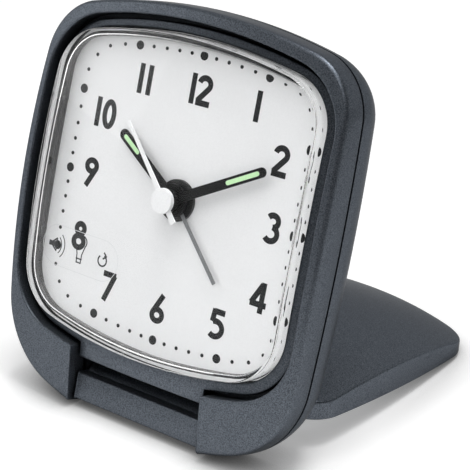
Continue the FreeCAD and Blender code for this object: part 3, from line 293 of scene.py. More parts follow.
def round_corners(corners, radius, steps=5):
    """A polygon with each corner replaced by an arc of that radius that touches both sides."""
    corners = np.asarray(corners, float)
    path = []
    for before, corner, after in zip(np.roll(corners, 1, 0), corners, np.roll(corners, -1, 0)):
        back = (before - corner) / np.hypot(*(before - corner))
        ahead = (after - corner) / np.hypot(*(after - corner))
        half = math.acos(np.clip(back @ ahead, -1, 1)) / 2
        middle = (back + ahead) / np.hypot(*(back + ahead))
        centre = corner + middle * radius / math.sin(half)
        start = corner + back * radius / math.tan(half) - centre
        end = corner + ahead * radius / math.tan(half) - centre
        share = np.linspace(0, 1, steps)[:, None]
        chord = start * (1 - share) + end * share
        path.append(centre + radius * chord / np.hypot(*chord.T)[:, None])
    return np.concatenate(path)


def end_rows(section, at, way, edge):
    """A section, in (second, third) coordinates, run out along the first from at, towards way:
    it shrinks by edge * (1 - cos) as it runs out by edge * sin."""
    out, back = rounded(edge, 0, 90, 5)
    return [np.insert(offset_loop(section, -shrink), 0, at + way * reach, axis=1)
            for reach, shrink in zip(out, edge - back)]


def skinned(rows):
    """Rows of a section's points joined up into a solid bar, closed at both ends."""
    count = len(rows[0])
    ends = [list(range(count))[::-1], list(range(count * (len(rows) - 1), count * len(rows)))]
    return np.stack(rows), grid_faces(len(rows), count, False, True).tolist() + ends


def turned(profile, steps=64):
    """A profile of (radius, height) points turned about the dial's middle. A radius of 0
    closes as a pole."""
    angle = np.linspace(0, 2 * math.pi, steps, endpoint=False)
    radius, height = np.asarray(profile, float).T[..., None]
    return ringed(np.stack((radius * np.cos(angle), radius * np.sin(angle),
                            np.broadcast_to(height, (len(height), steps))), -1))


def slab(loop, low, high):
    """A flat closed loop of plane points made a slab between two heights."""
    return skinned([lifted(loop, low), lifted(loop, high)])


# ---- materials
def linear(colour):
    """Screen colour, 0 to 255 a channel, as the linear colour that shaders take."""
    share = np.asarray(colour) / 255
    return (*np.where(share <= 0.04045, share / 12.92, ((share + 0.055) / 1.055) ** 2.4), 1.0)


def new_material(name, colour, roughness=0.5, **sockets):
    """A Principled material, with its node tree and its shader."""
    material = bpy.data.materials.new(name)
    material.use_nodes = True
    tree = material.node_tree
    shader = tree.nodes["Principled BSDF"]
    shader.inputs["Base Color"].default_value = linear(colour)
    shader.inputs["Roughness"].default_value = roughness
    for socket, value in sockets.items():
        shader.inputs[socket.replace("_", " ")].default_value = value
    return material, tree, shader


def add_node(tree, kind, **values):
    """A shader node with its sockets or properties set by name."""
    node = tree.nodes.new("ShaderNode" + kind)
    for key, value in values.items():
        if key in node.inputs:
            node.inputs[key].default_value = value
        else:
            setattr(node, key, value)
    return node


def noise(tree, scale, detail=2.0):
    """Noise on the object's own coordinates."""
    where = add_node(tree, "TexCoord")
    texture = add_node(tree, "TexNoise", Scale=scale, Detail=detail)
    tree.links.new(where.outputs["Object"], texture.inputs["Vector"])
    return texture.outputs["Fac"]


def towards(tree, coordinate, direction):
    """The dot product of a texture coordinate and a direction."""
    where = add_node(tree, "TexCoord")
    product = add_node(tree, "VectorMath", operation="DOT_PRODUCT")
    product.inputs[1].default_value = direction
    tree.links.new(where.outputs[coordinate], product.inputs[0])
    return product.outputs["Value"]


def ranged(tree, value, low, high, at_low, at_high):
    """A value that is at_low up to low, at_high from high on, and runs evenly between."""
    node = add_node(tree, "MapRange", **{"From Min": low, "From Max": high, "To Min": at_low,
                                         "To Max": at_high})
    tree.links.new(value, node.inputs["Value"])
    return node.outputs["Result"]


def reckoned(tree, operation, *terms):
    """What a Math node makes of its terms, each a number or another node's output."""
    node = add_node(tree, "Math", operation=operation)
    for socket, term in zip(node.inputs, terms):
        if isinstance(term, float):
            socket.default_value = term
        else:
            tree.links.new(term, socket)
    return node.outputs["Value"]


def any_ray(tree, *kinds):
    """One where a ray is of any of these kinds, zero elsewhere."""
    path = add_node(tree, "LightPath")
    total = path.outputs[kinds[0]]
    for kind in kinds[1:]:
        total = reckoned(tree, "MAXIMUM", total, path.outputs[kind])
    return total


def blended(tree, share, first, second):
    """A mix of two shaders, all of the second where share is one."""
    mix = add_node(tree, "MixShader")
    for socket, source in zip(mix.inputs, (share, first, second)):
        tree.links.new(source, socket)
    return mix.outputs["Shader"]


def mottled(tree, shader, factor, dark, light, low=0.3, high=0.7):
    """Colour that runs between two tints as a factor goes from low to high."""
    ramp = add_node(tree, "ValToRGB")
    for element, place, tint in zip(ramp.color_ramp.elements, (low, high), (dark, light)):
        element.position = place
        element.color = linear(tint)
    tree.links.new(factor, ramp.inputs["Fac"])
    tree.links.new(ramp.outputs["Color"], shader.inputs["Base Color"])
    return ramp.outputs["Color"]


def bumped(tree, shader, height, strength, distance):
    """A surface made faintly uneven by a height."""
    bump = add_node(tree, "Bump", Strength=strength, Distance=distance)
    tree.links.new(height, bump.inputs["Height"])
    tree.links.new(bump.outputs["Normal"], shader.inputs["Normal"])


def pearl_plastic():
    """Grey pearl paint: mostly the sheen of metal flakes, which a fine speckle breaks up, with painted shade that
    darkens its colour in the narrow gaps."""
    material, tree, shader = new_material("pearl_plastic", (90, 95, 102), 0.36, Metallic=0.75,
                                          Specular_IOR_Level=0.4,
                                          Specular_Tint=(0.3, 0.3, 0.3, 1))
    flakes = noise(tree, scale=5200, detail=1.5)
    tint = mottled(tree, shader, flakes, (70, 75, 82), (108, 114, 122), low=0.34, high=0.66)
    # Painted shade: ambient occlusion darkens the paint's colour in gaps and recesses.
    painted_gap_shade = add_node(tree, "AmbientOcclusion", Distance=0.0032, samples=8)
    tree.links.new(tint, painted_gap_shade.inputs["Color"])
    tree.links.new(painted_gap_shade.outputs["Color"], shader.inputs["Base Color"])
    bumped(tree, shader, flakes, strength=0.3, distance=0.00003)
    return material


def clear_plastic():
    """Polished clear acrylic that lets the lamps through to the dial. Its walls mirror what is
    beside them, and its coated front hardly mirrors."""
    material, tree, shader = new_material("clear_plastic", (255, 255, 255), 0.0, IOR=1.49,
                                          Transmission_Weight=1.0,
                                          Specular_Tint=(0.1, 0.1, 0.1, 1))
    frontness = reckoned(tree, "ABSOLUTE", towards(tree, "Normal", OUT))
    sheen = ranged(tree, frontness, low=0.3, high=0.9, at_low=1.0, at_high=0.1)
    tree.links.new(sheen, shader.inputs["Specular Tint"])
    through = add_node(tree, "BsdfTransparent", Color=(0.97, 0.97, 0.97, 1))
    surface = blended(tree, any_ray(tree, "Is Shadow Ray"), shader.outputs["BSDF"],
                      through.outputs["BSDF"])
    tree.links.new(surface, tree.nodes["Material Output"].inputs["Surface"])
    return material


def flecked(name, colour, roughness, spread=6, scale=3000, **sockets):
    """A plain finish with a faint unevenness in its colour, as far as spread either way, and
    in its surface."""
    material, tree, shader = new_material(name, colour, roughness, **sockets)
    grain = noise(tree, scale)
    dark = [max(channel - spread, 0) for channel in colour]
    light = [min(channel + spread, 255) for channel in colour]
    mottled(tree, shader, grain, dark, light)
    bumped(tree, shader, grain, strength=0.1, distance=0.00001)
    return material


def printed(name, ink, roughness, **sockets):
    """A plain print in a colour that the user sets."""
    return new_material(name, (0, 0, 0), roughness, Base_Color=(*ink, 1), **sockets)[0]


OWN_FINISHES = {"case_plastic": pearl_plastic, "clear_plastic": clear_plastic}
# By slot: the finish's name, its colour, its roughness, and what else flecked takes.
FLECKED_FINISHES = {
    "dial_white": ("dial_card", (238, 239, 240), 0.6, {"spread": 2}),
    "black_plastic": ("black_plastic", (26, 27, 28), 0.3, {"spread": 4}),
    "hand_black": ("black_lacquer", (13, 14, 15), 0.3, {"spread": 3, "Specular_IOR_Level": 0.2}),
    "hand_grey": ("grey_lacquer", (120, 122, 124), 0.4, {"spread": 5}),
    "hand_white": ("white_lacquer", (240, 241, 242), 0.35, {"spread": 3}),
    "lume_paint": ("luminous_paint", (200, 238, 188), 0.7, {"spread": 5}),
    "steel": ("bright_steel", (190, 190, 192), 0.3, {"Metallic": 1.0}),
    "brass": ("turned_brass", (205, 170, 100), 0.3, {"Metallic": 1.0}),
    "gear_plastic": ("natural_gear_plastic", (232, 229, 216), 0.45, {"spread": 4}),
    "copper_wire": ("lacquered_copper", (190, 105, 62), 0.35,
                    {"spread": 14, "scale": 20000, "Metallic": 1.0}),
    "board": ("green_board", (40, 92, 58), 0.45, {}),
    "battery_jacket": ("battery_jacket", (52, 55, 60), 0.35, {"spread": 4}),
    "magnet": ("dark_magnet", (66, 66, 68), 0.5, {"Metallic": 0.6}),
}
MATERIALS = {}


def finish_of(slot):
    """The material for one of the record's slots, made once."""
    if slot not in MATERIALS:
        if slot in OWN_FINISHES:
            MATERIALS[slot] = OWN_FINISHES[slot]()
        else:
            *look, more = FLECKED_FINISHES[slot]
            MATERIALS[slot] = flecked(*look, **more)
    return MATERIALS[slot]


# ---- case
# Each dome's height over the dial's middle, and its radius: the rim's, the inner ring's and the
# seam's between bezel and rear shell.
CREST, CREST_RADIUS = 6.7, 215
RING, RING_RADIUS = 4.88, 200
PARTING, PARTING_RADIUS = -0.86, 980


def bezel_rim():
    """The domed rim and lobes: for each place round, a section up the channel's wall, over a
    round of inner_edge, across the dome to a round of outer_edge, down to the parting groove,
    and in to the foot that stands on the rear shell."""
    inner_edge, outer_edge, lower_edge, end_edge = 0.3, 0.9, 0.2, 0.3
    channel_floor, ledge = 0.2, 0.8
    draft, wall_top = 0.05, 3.2
    groove, groove_depth, foot_depth, clearance = 0.35, 0.55, 1.0, 0.01
    rim, rim_out = outline("rim", SLOT)
    case, case_out = outline("case", SLOT)
    loops = [lifted(inset(rim, rim_out, ledge), channel_floor), lifted(rim, channel_floor)]

    lean = np.arcsin(np.hypot(*rim.T) / CREST_RADIUS)
    touch = inset(rim, rim_out, -inner_edge * (1 + np.sin(lean)))
    centre = dome(touch, CREST, CREST_RADIUS) - inner_edge * np.cos(lean)
    loops += edge_loops(rim, rim_out, inner_edge, centre, inner_edge, -QUARTER, lean, 7)
    start = loops[-1][:, :2]

    lean = np.arcsin(np.hypot(*case.T) / CREST_RADIUS)
    middle = -draft * (wall_top - PARTING) - outer_edge
    touch = inset(case, case_out, -middle - outer_edge * np.sin(lean))
    centre = dome(touch, CREST, CREST_RADIUS) - outer_edge * np.cos(lean)
    loops += dome_loops(start, touch, CREST, CREST_RADIUS, np.linspace(0, 1, 12)[1:-1])
    loops += edge_loops(case, case_out, middle, centre, outer_edge, lean,
                        QUARTER - math.atan(draft), 9)

    parting = dome(case, PARTING, PARTING_RADIUS) + groove
    for inwards, up in ((0, 1), (0.3, 0.25), (1, 0)):
        loops.append(lifted(inset(case, case_out, inwards * lower_edge),
                            parting + up * lower_edge))
    foot = inset(case, case_out, groove_depth)
    loops.append(lifted(foot, parting))
    for place in (foot, inset(case, case_out, foot_depth)):
        loops.append(lifted(place, dome(place, PARTING, PARTING_RADIUS) + clearance))
    return open_sweep(np.stack(loops), SLOT, end_edge)


def open_sweep(loops, end, edge):
    """Skin a section, loops of shape (profile, along, 3), whose two ends lie at X = +-end, and
    round the ends. The section is turned anticlockwise first, as end_rows wants it."""
    rows = list(np.moveaxis(loops, 1, 0))
    flat = rows[0][:, 1:]
    if np.sum(flat[:, 0] * np.roll(flat[:, 1], -1) - np.roll(flat[:, 0], -1) * flat[:, 1]) < 0:
        rows = [row[::-1] for row in rows]
    first, last = [end_rows(row[:, 1:], side * (end + edge), -side, edge)
                   for row, side in ((rows[0], 1), (rows[-1], -1))]
    return skinned(first[::-1] + rows[1:-1] + last)


def bezel_ring():
    """The inner ring round the lens, with the strip that reaches down between the lobes. Its
    outer border is the rim's outline moved in by the channel, with a step down at the strip."""
    channel, strip, strip_foot = 0.75, 14.3, -32.1
    inner_edge, outer_edge, base = 0.3, 0.35, -0.5
    lens_gap, flange_gap, flange_roof = 0.35, 1.4, 1.2
    rim, rim_out = outline("rim", strip)
    border = inset(rim, rim_out, channel)
    corner = np.array((strip, strip_foot))
    half = len(border) // 2
    down = np.linspace(border[0], corner, 5)[1:]
    across = np.linspace(corner, (0, strip_foot), 12)[1:]
    right = np.concatenate((border[:half + 1][::-1], down, across))
    left = right[::-1][1:-1] * (-1, 1)
    border = np.concatenate((right, left))[::-1]
    lens, lens_out = outline("lens", None, 8)
    bearing = np.arctan2(*border.T[::-1])
    inner, inner_out = at_bearing(lens, lens, bearing), at_bearing(lens, lens_out, bearing)
    inner_out /= np.hypot(*inner_out.T)[:, None]

    seat, start = inset(inner, inner_out, -flange_gap), inset(inner, inner_out, -lens_gap)
    loops = [lifted(seat, base), lifted(seat, flange_roof), lifted(start, flange_roof)]
    lean = np.arcsin(np.hypot(*inner.T) / RING_RADIUS)
    top = dome(inset(start, inner_out, -inner_edge), RING, RING_RADIUS) - inner_edge
    loops += edge_loops(start, inner_out, inner_edge, top, inner_edge, -QUARTER, lean, 5)
    far = offset_loop(border, -outer_edge)
    loops += dome_loops(loops[-1][:, :2], far, RING, RING_RADIUS, np.linspace(0, 1, 6)[1:-1])
    top = dome(far, RING, RING_RADIUS) - outer_edge
    for turn in np.linspace(0, QUARTER, 5):
        loops.append(lifted(offset_loop(border, -outer_edge * (1 - math.sin(turn))),
                            top + outer_edge * math.cos(turn)))
    loops.append(lifted(border, base))
    return ringed(np.stack(loops), True)


# ---- cover
# The shut cover: how far its rim is above the pin, how far its dome's pole is along from the
# pin, and how much further its outline's middle is.
COVER_RIM, COVER_REACH, COVER_SHIFT = 3.1, 35.12, 2.68
# Its dome's height over the rim and radius, and how thick its wall and its roof are.
COVER_CROWN, COVER_DOME = 9.2, 110
COVER_WALL, COVER_ROOF = 0.8, 1.0
# The knuckle and arm's section, as (along the cover, up) from the pin, with half its length
# and the rounds of its corners and of its ends.
KNUCKLE = ((-0.61, 2.6), (-1.47, -2.17), (1.6, -2.62), (2.7, -1.6), (4.6, 2.99), (9.2, 2.99),
           (9.2, 5.3), (4.6, 4.3), (3.5, 3.25), (2.05, 2.12))
KNUCKLE_HALF, KNUCKLE_ROUND, KNUCKLE_END = 14.3, 0.3, 0.25


def cover_shell():
    """The domed cover: loops from the pole out over the dome, a round edge and the wall to the
    rim, and back inside under the roof to a second pole."""
    edge, lip, inner_lip, inner_edge = 0.45, 0.2, 0.15, 0.4
    border, out = outline("cover")
    border = border + (0, COVER_SHIFT)
    wall = inset(border, out, COVER_WALL)
    loops = domed_front(border, out, COVER_CROWN, COVER_DOME, edge, 16, 8)
    loops += edge_loops(border, out, -lip, lip, lip, QUARTER, math.pi, 4)
    loops += [lifted(inset(wall, out, -inner_lip), 0), lifted(wall, inner_lip)]
    roof = dome_loops(0, inset(wall, out, inner_edge), COVER_CROWN - COVER_ROOF,
                      COVER_DOME - COVER_ROOF, np.linspace(1, 0, 10))
    for inwards, down in ((0, 1), (0.3, 0.3)):
        loops.append(lifted(inset(wall, out, inwards * inner_edge),
                            roof[0][:, 2] - down * inner_edge))
    points, faces = ringed(np.stack(loops + roof))
    return points + (0, COVER_REACH, COVER_RIM), faces


def cover_knuckle():
    """The hinge bar between the lobes and the arm that joins it to the cover."""
    section = round_corners(KNUCKLE[::-1], KNUCKLE_ROUND)
    reach = KNUCKLE_HALF - KNUCKLE_END
    return skinned(end_rows(section, -reach, -1, KNUCKLE_END)[::-1]
                   + end_rows(section, reach, 1, KNUCKLE_END))


# ---- lens
# Its front's height over the dial's middle and radius, and how thick its front and wall are.
LENS_FRONT, LENS_RADIUS, LENS_PLATE, LENS_WALL = 7.3, 220, 2.0, 0.7


def lens_cap():
    """The clear cap: from the front's pole over a small round, down a wall that flares to the
    flange, and back up inside to the pole of the inner face."""
    edge, inner_edge, flare, flange = 0.3, 1.2, 0.12, 1.2
    flange_foot, flange_top = 0.2, 1.0
    border, out = outline("lens", None, 2)
    wall, brim = inset(border, out, LENS_WALL), inset(border, out, -flange)
    loops = domed_front(border, out, LENS_FRONT, LENS_RADIUS, edge, 18, 7)
    loops += [lifted(inset(border, out, -flare), flange_top), lifted(brim, flange_top),
              lifted(brim, flange_foot), lifted(wall, flange_foot)]
    roof = dome_loops(0, inset(wall, out, inner_edge), LENS_FRONT - LENS_PLATE,
                      LENS_RADIUS - LENS_PLATE, np.linspace(1, 0, 14))
    loops += edge_loops(wall, out, -inner_edge, roof[0][:, 2] - inner_edge, inner_edge,
                        QUARTER, 0, 5)
    return ringed(np.stack(loops + roof[1:]))


# ---- dial print
DIAL_FRONT = -0.8
# How far print starts below the surface and stands above it, and each stroke above the last.
PRINT_SINK, PRINT_THICK, PRINT_STEP = 0.05, 0.02, 0.004
NUMERAL_HEIGHT, NUMERAL_BREADTH, STROKE = 5.25, 1.1, 1.03
NUMERALS = {"12": (0.1, 19.3), "1": (12.7, 19.1), "2": (19.2, 11.3), "3": (20.15, 0.2),
            "4": (20.05, -11.6), "5": (12.7, -18.4), "6": (-0.1, -19.3), "7": (-11.8, -18.6),
            "8": (-20.2, -11.4), "9": (-20.1, 0.2), "10": (-19.5, 11.1), "11": (-11.6, 18.7)}
# From one digit's middle to the next in the numbers that have two.
SPREAD = {"10": 2.6, "11": 1.95, "12": 2.45}


def arc(x, y, radius, start, end, tall=1.0, steps=20):
    """Points along an arc from start to end degrees, stretched upwards by tall."""
    turn = np.radians(np.linspace(start, end, steps))
    return np.stack((x + radius * np.cos(turn), y + radius * tall * np.sin(turn)), -1)


def line(*points):
    """A path of straight runs between points."""
    return np.array(points, float)


# Each digit's strokes for a height of 2, drawn about its middle.
DIGITS = {
    "0": [arc(0, 0, 0.36, 0, 360, 2.28, 40)],
    "1": [line((0, -1), (0, 1))],
    "2": [np.concatenate((arc(-0.02, 0.43, 0.4, 172, -38), line((-0.42, -0.72)))),
          line((-0.52, -0.82), (0.5, -0.82))],
    "3": [arc(-0.07, 0.44, 0.38, 148, -84), arc(-0.09, -0.37, 0.45, 84, -142)],
    "4": [line((0.14, 0.86), (-0.5, -0.44)), line((-0.58, -0.44), (0.58, -0.44)),
          line((0.22, -1), (0.22, 1))],
    "5": [line((-0.28, 0.96), (-0.36, 0.12)), line((-0.3, 0.82), (0.46, 0.82)),
          arc(-0.08, -0.31, 0.5, 118, -132)],
    "6": [arc(0, -0.44, 0.38, 0, 360, 1, 36), line((-0.35, -0.3), (0.26, 0.98))],
    "7": [line((-0.5, 0.82), (0.5, 0.82)), line((0.42, 0.84), (-0.2, -1))],
    "8": [arc(0, 0.46, 0.31, 0, 360, 1.08, 36), arc(0, -0.43, 0.4, 0, 360, 1, 36)],
    "9": [arc(0, 0.44, 0.38, 0, 360, 1, 36), line((0.35, 0.3), (-0.26, -0.98))],
}


def stroke(path, width, low, high):
    """A ribbon of constant width along a plane path, as thick as from low to high. A path that
    comes back to its start is closed; any other has square ends."""
    closed = np.hypot(*(path[-1] - path[0])) < 1e-6
    points = path[:-1] if closed else path
    if closed:
        run = np.roll(points, -1, 0) - np.roll(points, 1, 0)
    else:
        run = np.gradient(points, axis=0)
    side = np.stack((-run[:, 1], run[:, 0]), -1) / np.hypot(*run.T)[:, None] * width / 2
    rows = np.stack((lifted(points + side, low), lifted(points - side, low),
                     lifted(points - side, high), lifted(points + side, high)), 1)
    return (rows, grid_faces(len(rows), 4, True, True)) if closed else skinned(rows)


def numerals():
    """The twelve numbers: round and straight strokes, each of a digit's a hair higher than
    the last, so that no two lie in one plane."""
    parts = []
    for text, (x, y) in NUMERALS.items():
        for place, digit in enumerate(text):
            left = x + SPREAD[text] * (place - 0.5) if len(text) == 2 else x
            for order, path in enumerate(DIGITS[digit]):
                scaled = path * (NUMERAL_BREADTH, 1) * (NUMERAL_HEIGHT / 2) + (left, y)
                top = DIAL_FRONT + PRINT_THICK + PRINT_STEP * order
                parts.append(stroke(scaled, STROKE, DIAL_FRONT - PRINT_SINK, top))
    return parts


def minute_dots(small=0.34, large=0.82):
    """Sixty discs where rays at every minute meet the track's outline, larger at the hours."""
    track, _ = outline("track", None, 8)
    parts = []
    for minute in range(60):
        radius, sides = (small, 28) if minute % 5 else (large, 48)
        middle = at_bearing(track, track, QUARTER - math.radians(6 * minute))
        ring = middle + arc(0, 0, radius, 0, 360, steps=sides + 1)[:-1]
        parts.append(slab(ring, DIAL_FRONT - PRINT_SINK, DIAL_FRONT + PRINT_THICK))
    return parts


# ---- film on the lens
# The flat film in the lens's front: where its round ends' middles are across and up the dial,
# its half height, how high it lies, how thick its print is, and each stroke above the last.
FILM_LEFT, FILM_RIGHT, FILM_MIDDLE, FILM_HALF = -20.4, -9.7, -13.0, 3.6
FILM_HEIGHT = LENS_FRONT - 2.62
FILM_INK, FILM_STEP = 0.02, 0.003
# The middles of its three drawings.
SPEAKER, BULB, ARROW = (-21.4, -13.0), (-15.0, -12.2), (-9.6, -13.0)


def film_icons():
    """The thin drawings on the film: a sounding speaker, a lamp bulb and a repeat arrow, each
    a list of strokes with their widths, in millimetres from its middle."""
    thin, narrow, thick, cone, magnet = 0.2, 0.24, 0.3, 0.85, 0.5
    speaker = [(line((-0.9, -0.45), (-0.9, 0.45)), magnet), (line((-0.75, 0), (0.55, 0)), cone),
               (line((-0.3, 0.3), (0.75, 1.15)), thick), (line((0.75, 1.2), (0.75, -1.2)), thin),
               (line((0.75, -1.15), (-0.3, -0.3)), thick),
               (arc(0, 0, 1.9, -48, 48), thin), (arc(0, 0, 2.7, -48, 48), thin)]
    bulb = [arc(0, 1.2, 1.35, -35, 215, 0.85, 30), line((-1.1, 0.55), (-0.55, -1.1)),
            line((1.1, 0.55), (0.55, -1.1)), line((-0.55, -1.1), (-0.55, -1.9)),
            line((0.55, -1.1), (0.55, -1.9)), line((-0.7, -1.9), (0.7, -1.9)),
            line((-0.5, -1.9), (-0.5, -2.6)), line((0.5, -1.9), (0.5, -2.6)),
            line((-0.6, -2.6), (0.6, -2.6))]
    arrow = [arc(0, 0, 0.95, 70, -230, 1, 30), line((0.15, 1.5), (0.85, 0.8)),
             line((0.85, 0.85), (0.05, 0.35))]
    parts = []
    for middle, strokes in ((SPEAKER, speaker), (BULB, [(path, narrow) for path in bulb]),
                            (ARROW, [(path, thick) for path in arrow])):
        for order, (path, width) in enumerate(strokes):
            top = FILM_HEIGHT + FILM_INK + FILM_STEP * order
            parts.append(stroke(path + middle, width, FILM_HEIGHT, top))
    return parts


def film_edge(width=0.1, thick=0.01):
    """The film's border, a hair-thin line with two straight sides and two round ends."""
    border = np.concatenate((arc(FILM_RIGHT, FILM_MIDDLE, FILM_HALF, -90, 90),
                             arc(FILM_LEFT, FILM_MIDDLE, FILM_HALF, 90, 270)))
    closed = np.concatenate((border, border[:1]))
    return stroke(closed, width, FILM_HEIGHT, FILM_HEIGHT + thick)


# ---- hands
# Which way the hands point, in degrees clockwise from twelve, and the heights of their fronts.
HOUR_TURN, HOUR_FRONT = 303.8, 0.65
MINUTE_TURN, MINUTE_BACK, MINUTE_FRONT = 62.6, 1.3, 1.55


def hub_profile(radius, back, front, edge, dish=0.0, bore=0.0):
    """A turned hub: up the side from the back, over a round edge and in to the middle, which
    is dished when dish is not zero."""
    out, down = rounded(edge, 90, 0, 6)
    profile = [(bore, back), (radius, back)]
    profile += [(radius - edge + a, front - edge + b) for a, b in zip(out, down)]
    inner = np.linspace(radius - edge, bore, 5)[1:]
    profile += [(r, front - dish * (1 - (r / (radius - edge)) ** 2)) for r in inner]
    return profile


def bar_at(turn, start, reach, root, tip, square=False):
    """A hand's outline: a bar from start to reach that points turn degrees clockwise from
    twelve, root wide at the one end and tip at the other, where it is round."""
    cap = arc(0, reach - tip / 2, tip / 2, 0, 180)
    foot = line((-root / 2, start), (root / 2, start)) if square else arc(
        0, start + root / 2, root / 2, 180, 360)
    return np.concatenate((foot, cap)) @ clockwise(math.radians(turn))


def minute_hand():
    """The minute hand's bar and the boss at its root."""
    blade = bar_at(MINUTE_TURN, start=1.2, reach=20.5, root=1.75, tip=1.7, square=True)
    boss = hub_profile(radius=1.9, back=1.31, front=2.05, edge=0.2, dish=0.1, bore=0.6)
    return [slab(blade, MINUTE_BACK, MINUTE_FRONT), turned(boss)]


def lume_strip(turn, start, reach, front, width=0.8, sunk=0.05, proud=0.03):
    """A luminous strip, sunk into its hand's front and standing a hair above it."""
    return [slab(bar_at(turn, start, reach, width, width), front - sunk, front + proud)]


def collar():
    """The raised collar on the dial that the hands' tubes come up through."""
    profile = hub_profile(radius=3.65, back=DIAL_FRONT - 0.02, front=-0.2, edge=0.25, bore=2.42)
    return [turned(profile)]


# ---- the operators' settings
class ClockSettings(PropertyGroup):
    """What a user would change."""
    numeral_ink: FloatVectorProperty(
        name="Numerals", description="Colour of the print on the dial", subtype="COLOR", size=3,
        min=0, max=1, default=(0.02, 0.021, 0.022))
    film_ink: FloatVectorProperty(
        name="Film print", description="Colour of the drawings on the lens's film",
        subtype="COLOR", size=3, min=0, max=1, default=(0.03, 0.032, 0.035))
    edge: FloatProperty(
        name="Edge round", description="Rounding of the moulded parts' edges, in millimetres",
        default=0.25, min=0.02, max=0.6, precision=2)


class StudioSettings(PropertyGroup):
    """The studio's floor, lamps and surroundings."""
    floor: FloatVectorProperty(
        name="Floor", description="Colour of the floor", subtype="COLOR", size=3, min=0, max=1,
        default=(0.85, 0.85, 0.85))
    lift: FloatProperty(
        name="Floor lift", description="White added to the floor as the camera sees it",
        default=0.38, min=0, max=1)
    key: FloatProperty(
        name="Key lamp", description="Strength of the large lamp at the front left",
        subtype="POWER", default=1.3, min=0)
    front: FloatProperty(
        name="Front lamp", description="Strength of the lamp above and in front", subtype="POWER",
        default=2.4, min=0)
    overhead: FloatProperty(
        name="Overhead lamp", description="Strength of the lamp straight above",
        subtype="POWER", default=3.8, min=0)
    world: FloatProperty(
        name="Surroundings", description="Strength of the even light from all round",
        default=0.25, min=0, max=2)


class ClockOperator:
    """What all the operators share."""
    bl_options = {"REGISTER", "UNDO"}


class CLOCK_OT_case(ClockOperator, Operator):
    """Bezel rim, inner ring, rear shell and the screws in the lobes"""
    bl_idname = "clock.case"
    bl_label = "Case"

    def execute(self, context):
        edge = context.scene.clock_settings.edge
        for name, part in (("bezel_rim", bezel_rim()), ("bezel_ring", bezel_ring())):
            new_piece(name, [part], "case", "case_plastic", ("front_bezel",))
        softened("rear_case", "rear_shell", "case_plastic", width=edge, sharp=28)
        softened("lobe_screws", "case_screws", "steel", width=0.06)
        return {"FINISHED"}


class CLOCK_OT_cover(ClockOperator, Operator):
    """Folding cover and its hinge pin"""
    bl_idname = "clock.cover"
    bl_label = "Cover"

    def execute(self, context):
        new_piece("folding_cover", [cover_shell(), cover_knuckle()], "cover", "case_plastic",
                  ("stand_cover",), place=from_cover)
        softened("pin", "hinge_pin", "steel", width=0.1)
        return {"FINISHED"}


class CLOCK_OT_lens(ClockOperator, Operator):
    """Clear lens, and the film of symbols in it"""
    bl_idname = "clock.lens"
    bl_label = "Lens"

    def execute(self, context):
        print_ink = printed("film_print", context.scene.clock_settings.film_ink, 0.5)
        edge_tint = new_material("film_edge", (224, 226, 227), 0.3)[0]
        new_piece("clear_lens", [lens_cap()], "lens_button", "clear_plastic", ("lens",), sharp=30)
        new_piece("film_symbols", film_icons(), "lens_button", "black_plastic",
                  material=print_ink)
        new_piece("film_rim", [film_edge()], "lens_button", "clear_plastic", material=edge_tint)
        return {"FINISHED"}


class CLOCK_OT_dial(ClockOperator, Operator):
    """Numbers and minute dots on the dial"""
    bl_idname = "clock.dial"
    bl_label = "Dial"

    def execute(self, context):
        print_ink = printed("dial_print", context.scene.clock_settings.numeral_ink, 0.55,
                            Specular_IOR_Level=0.15)
        for name, parts in (("numerals", numerals()), ("minute_dots", minute_dots())):
            new_piece(name, parts, "case", "black_plastic", material=print_ink)
        return {"FINISHED"}


class CLOCK_OT_hands(ClockOperator, Operator):
    """Hands, their luminous strips and the collar they turn in"""
    bl_idname = "clock.hands"
    bl_label = "Hands"

    def execute(self, context):
        for name, slot in (("hour_hand", "hand_black"), ("second_hand", "hand_white"),
                           ("alarm_hand", "hand_grey")):
            softened(name + "_finished", name, slot, width=0.05, sharp=40)
        new_piece("minute_hand_finished", minute_hand(), BODY_OF_CAD["minute_hand"],
                  "hand_black", ("minute_hand",))
        for name, strip in (("hour_lume", lume_strip(HOUR_TURN, 10.9, 15.4, HOUR_FRONT)),
                            ("minute_lume", lume_strip(MINUTE_TURN, 12.2, 19.2, MINUTE_FRONT))):
            new_piece(name + "_finished", strip, BODY_OF_CAD[name], "lume_paint", (name,))
        new_piece("collar", collar(), "case", "black_plastic")
        return {"FINISHED"}


class CLOCK_OT_back(ClockOperator, Operator):
    """Battery door, knobs and switch on the back"""
    bl_idname = "clock.back"
    bl_label = "Back"

    def execute(self, context):
        for name, slot in (("battery_door", "case_plastic"), ("time_knob", "black_plastic"),
                           ("alarm_knob", "black_plastic"), ("alarm_switch", "black_plastic")):
            softened(name + "_finished", name, slot, width=0.1, sharp=40)
        return {"FINISHED"}


class CLOCK_OT_insides(ClockOperator, Operator):
    """Finishes for the movement, battery and other inner pieces, which keep their own shapes"""
    bl_idname = "clock.insides"
    bl_label = "Insides"

    def execute(self, context):
        slots = {part["node"]: part["material_slot"] for part in frame["record"]["subparts"]}
        for name, node in frame["nodes"].items():
            if not node.hide_render:
                node.data.materials.clear()
                node.data.materials.append(finish_of(slots[name]))
        return {"FINISHED"}


class CLOCK_OT_studio(ClockOperator, Operator):
    """Floor, surroundings, soft lamps and the camera"""
    bl_idname = "clock.studio"
    bl_label = "Studio"

    def execute(self, context):
        studio = context.scene.studio_settings
        context.scene.view_settings.view_transform = "Standard"
        studio_floor(context.scene, studio)
        surroundings(context.scene, studio)
        for name, (place, side) in LAMPS.items():
            lamp(name, place, side, getattr(studio, name))
        camera(context.scene)
        return {"FINISHED"}


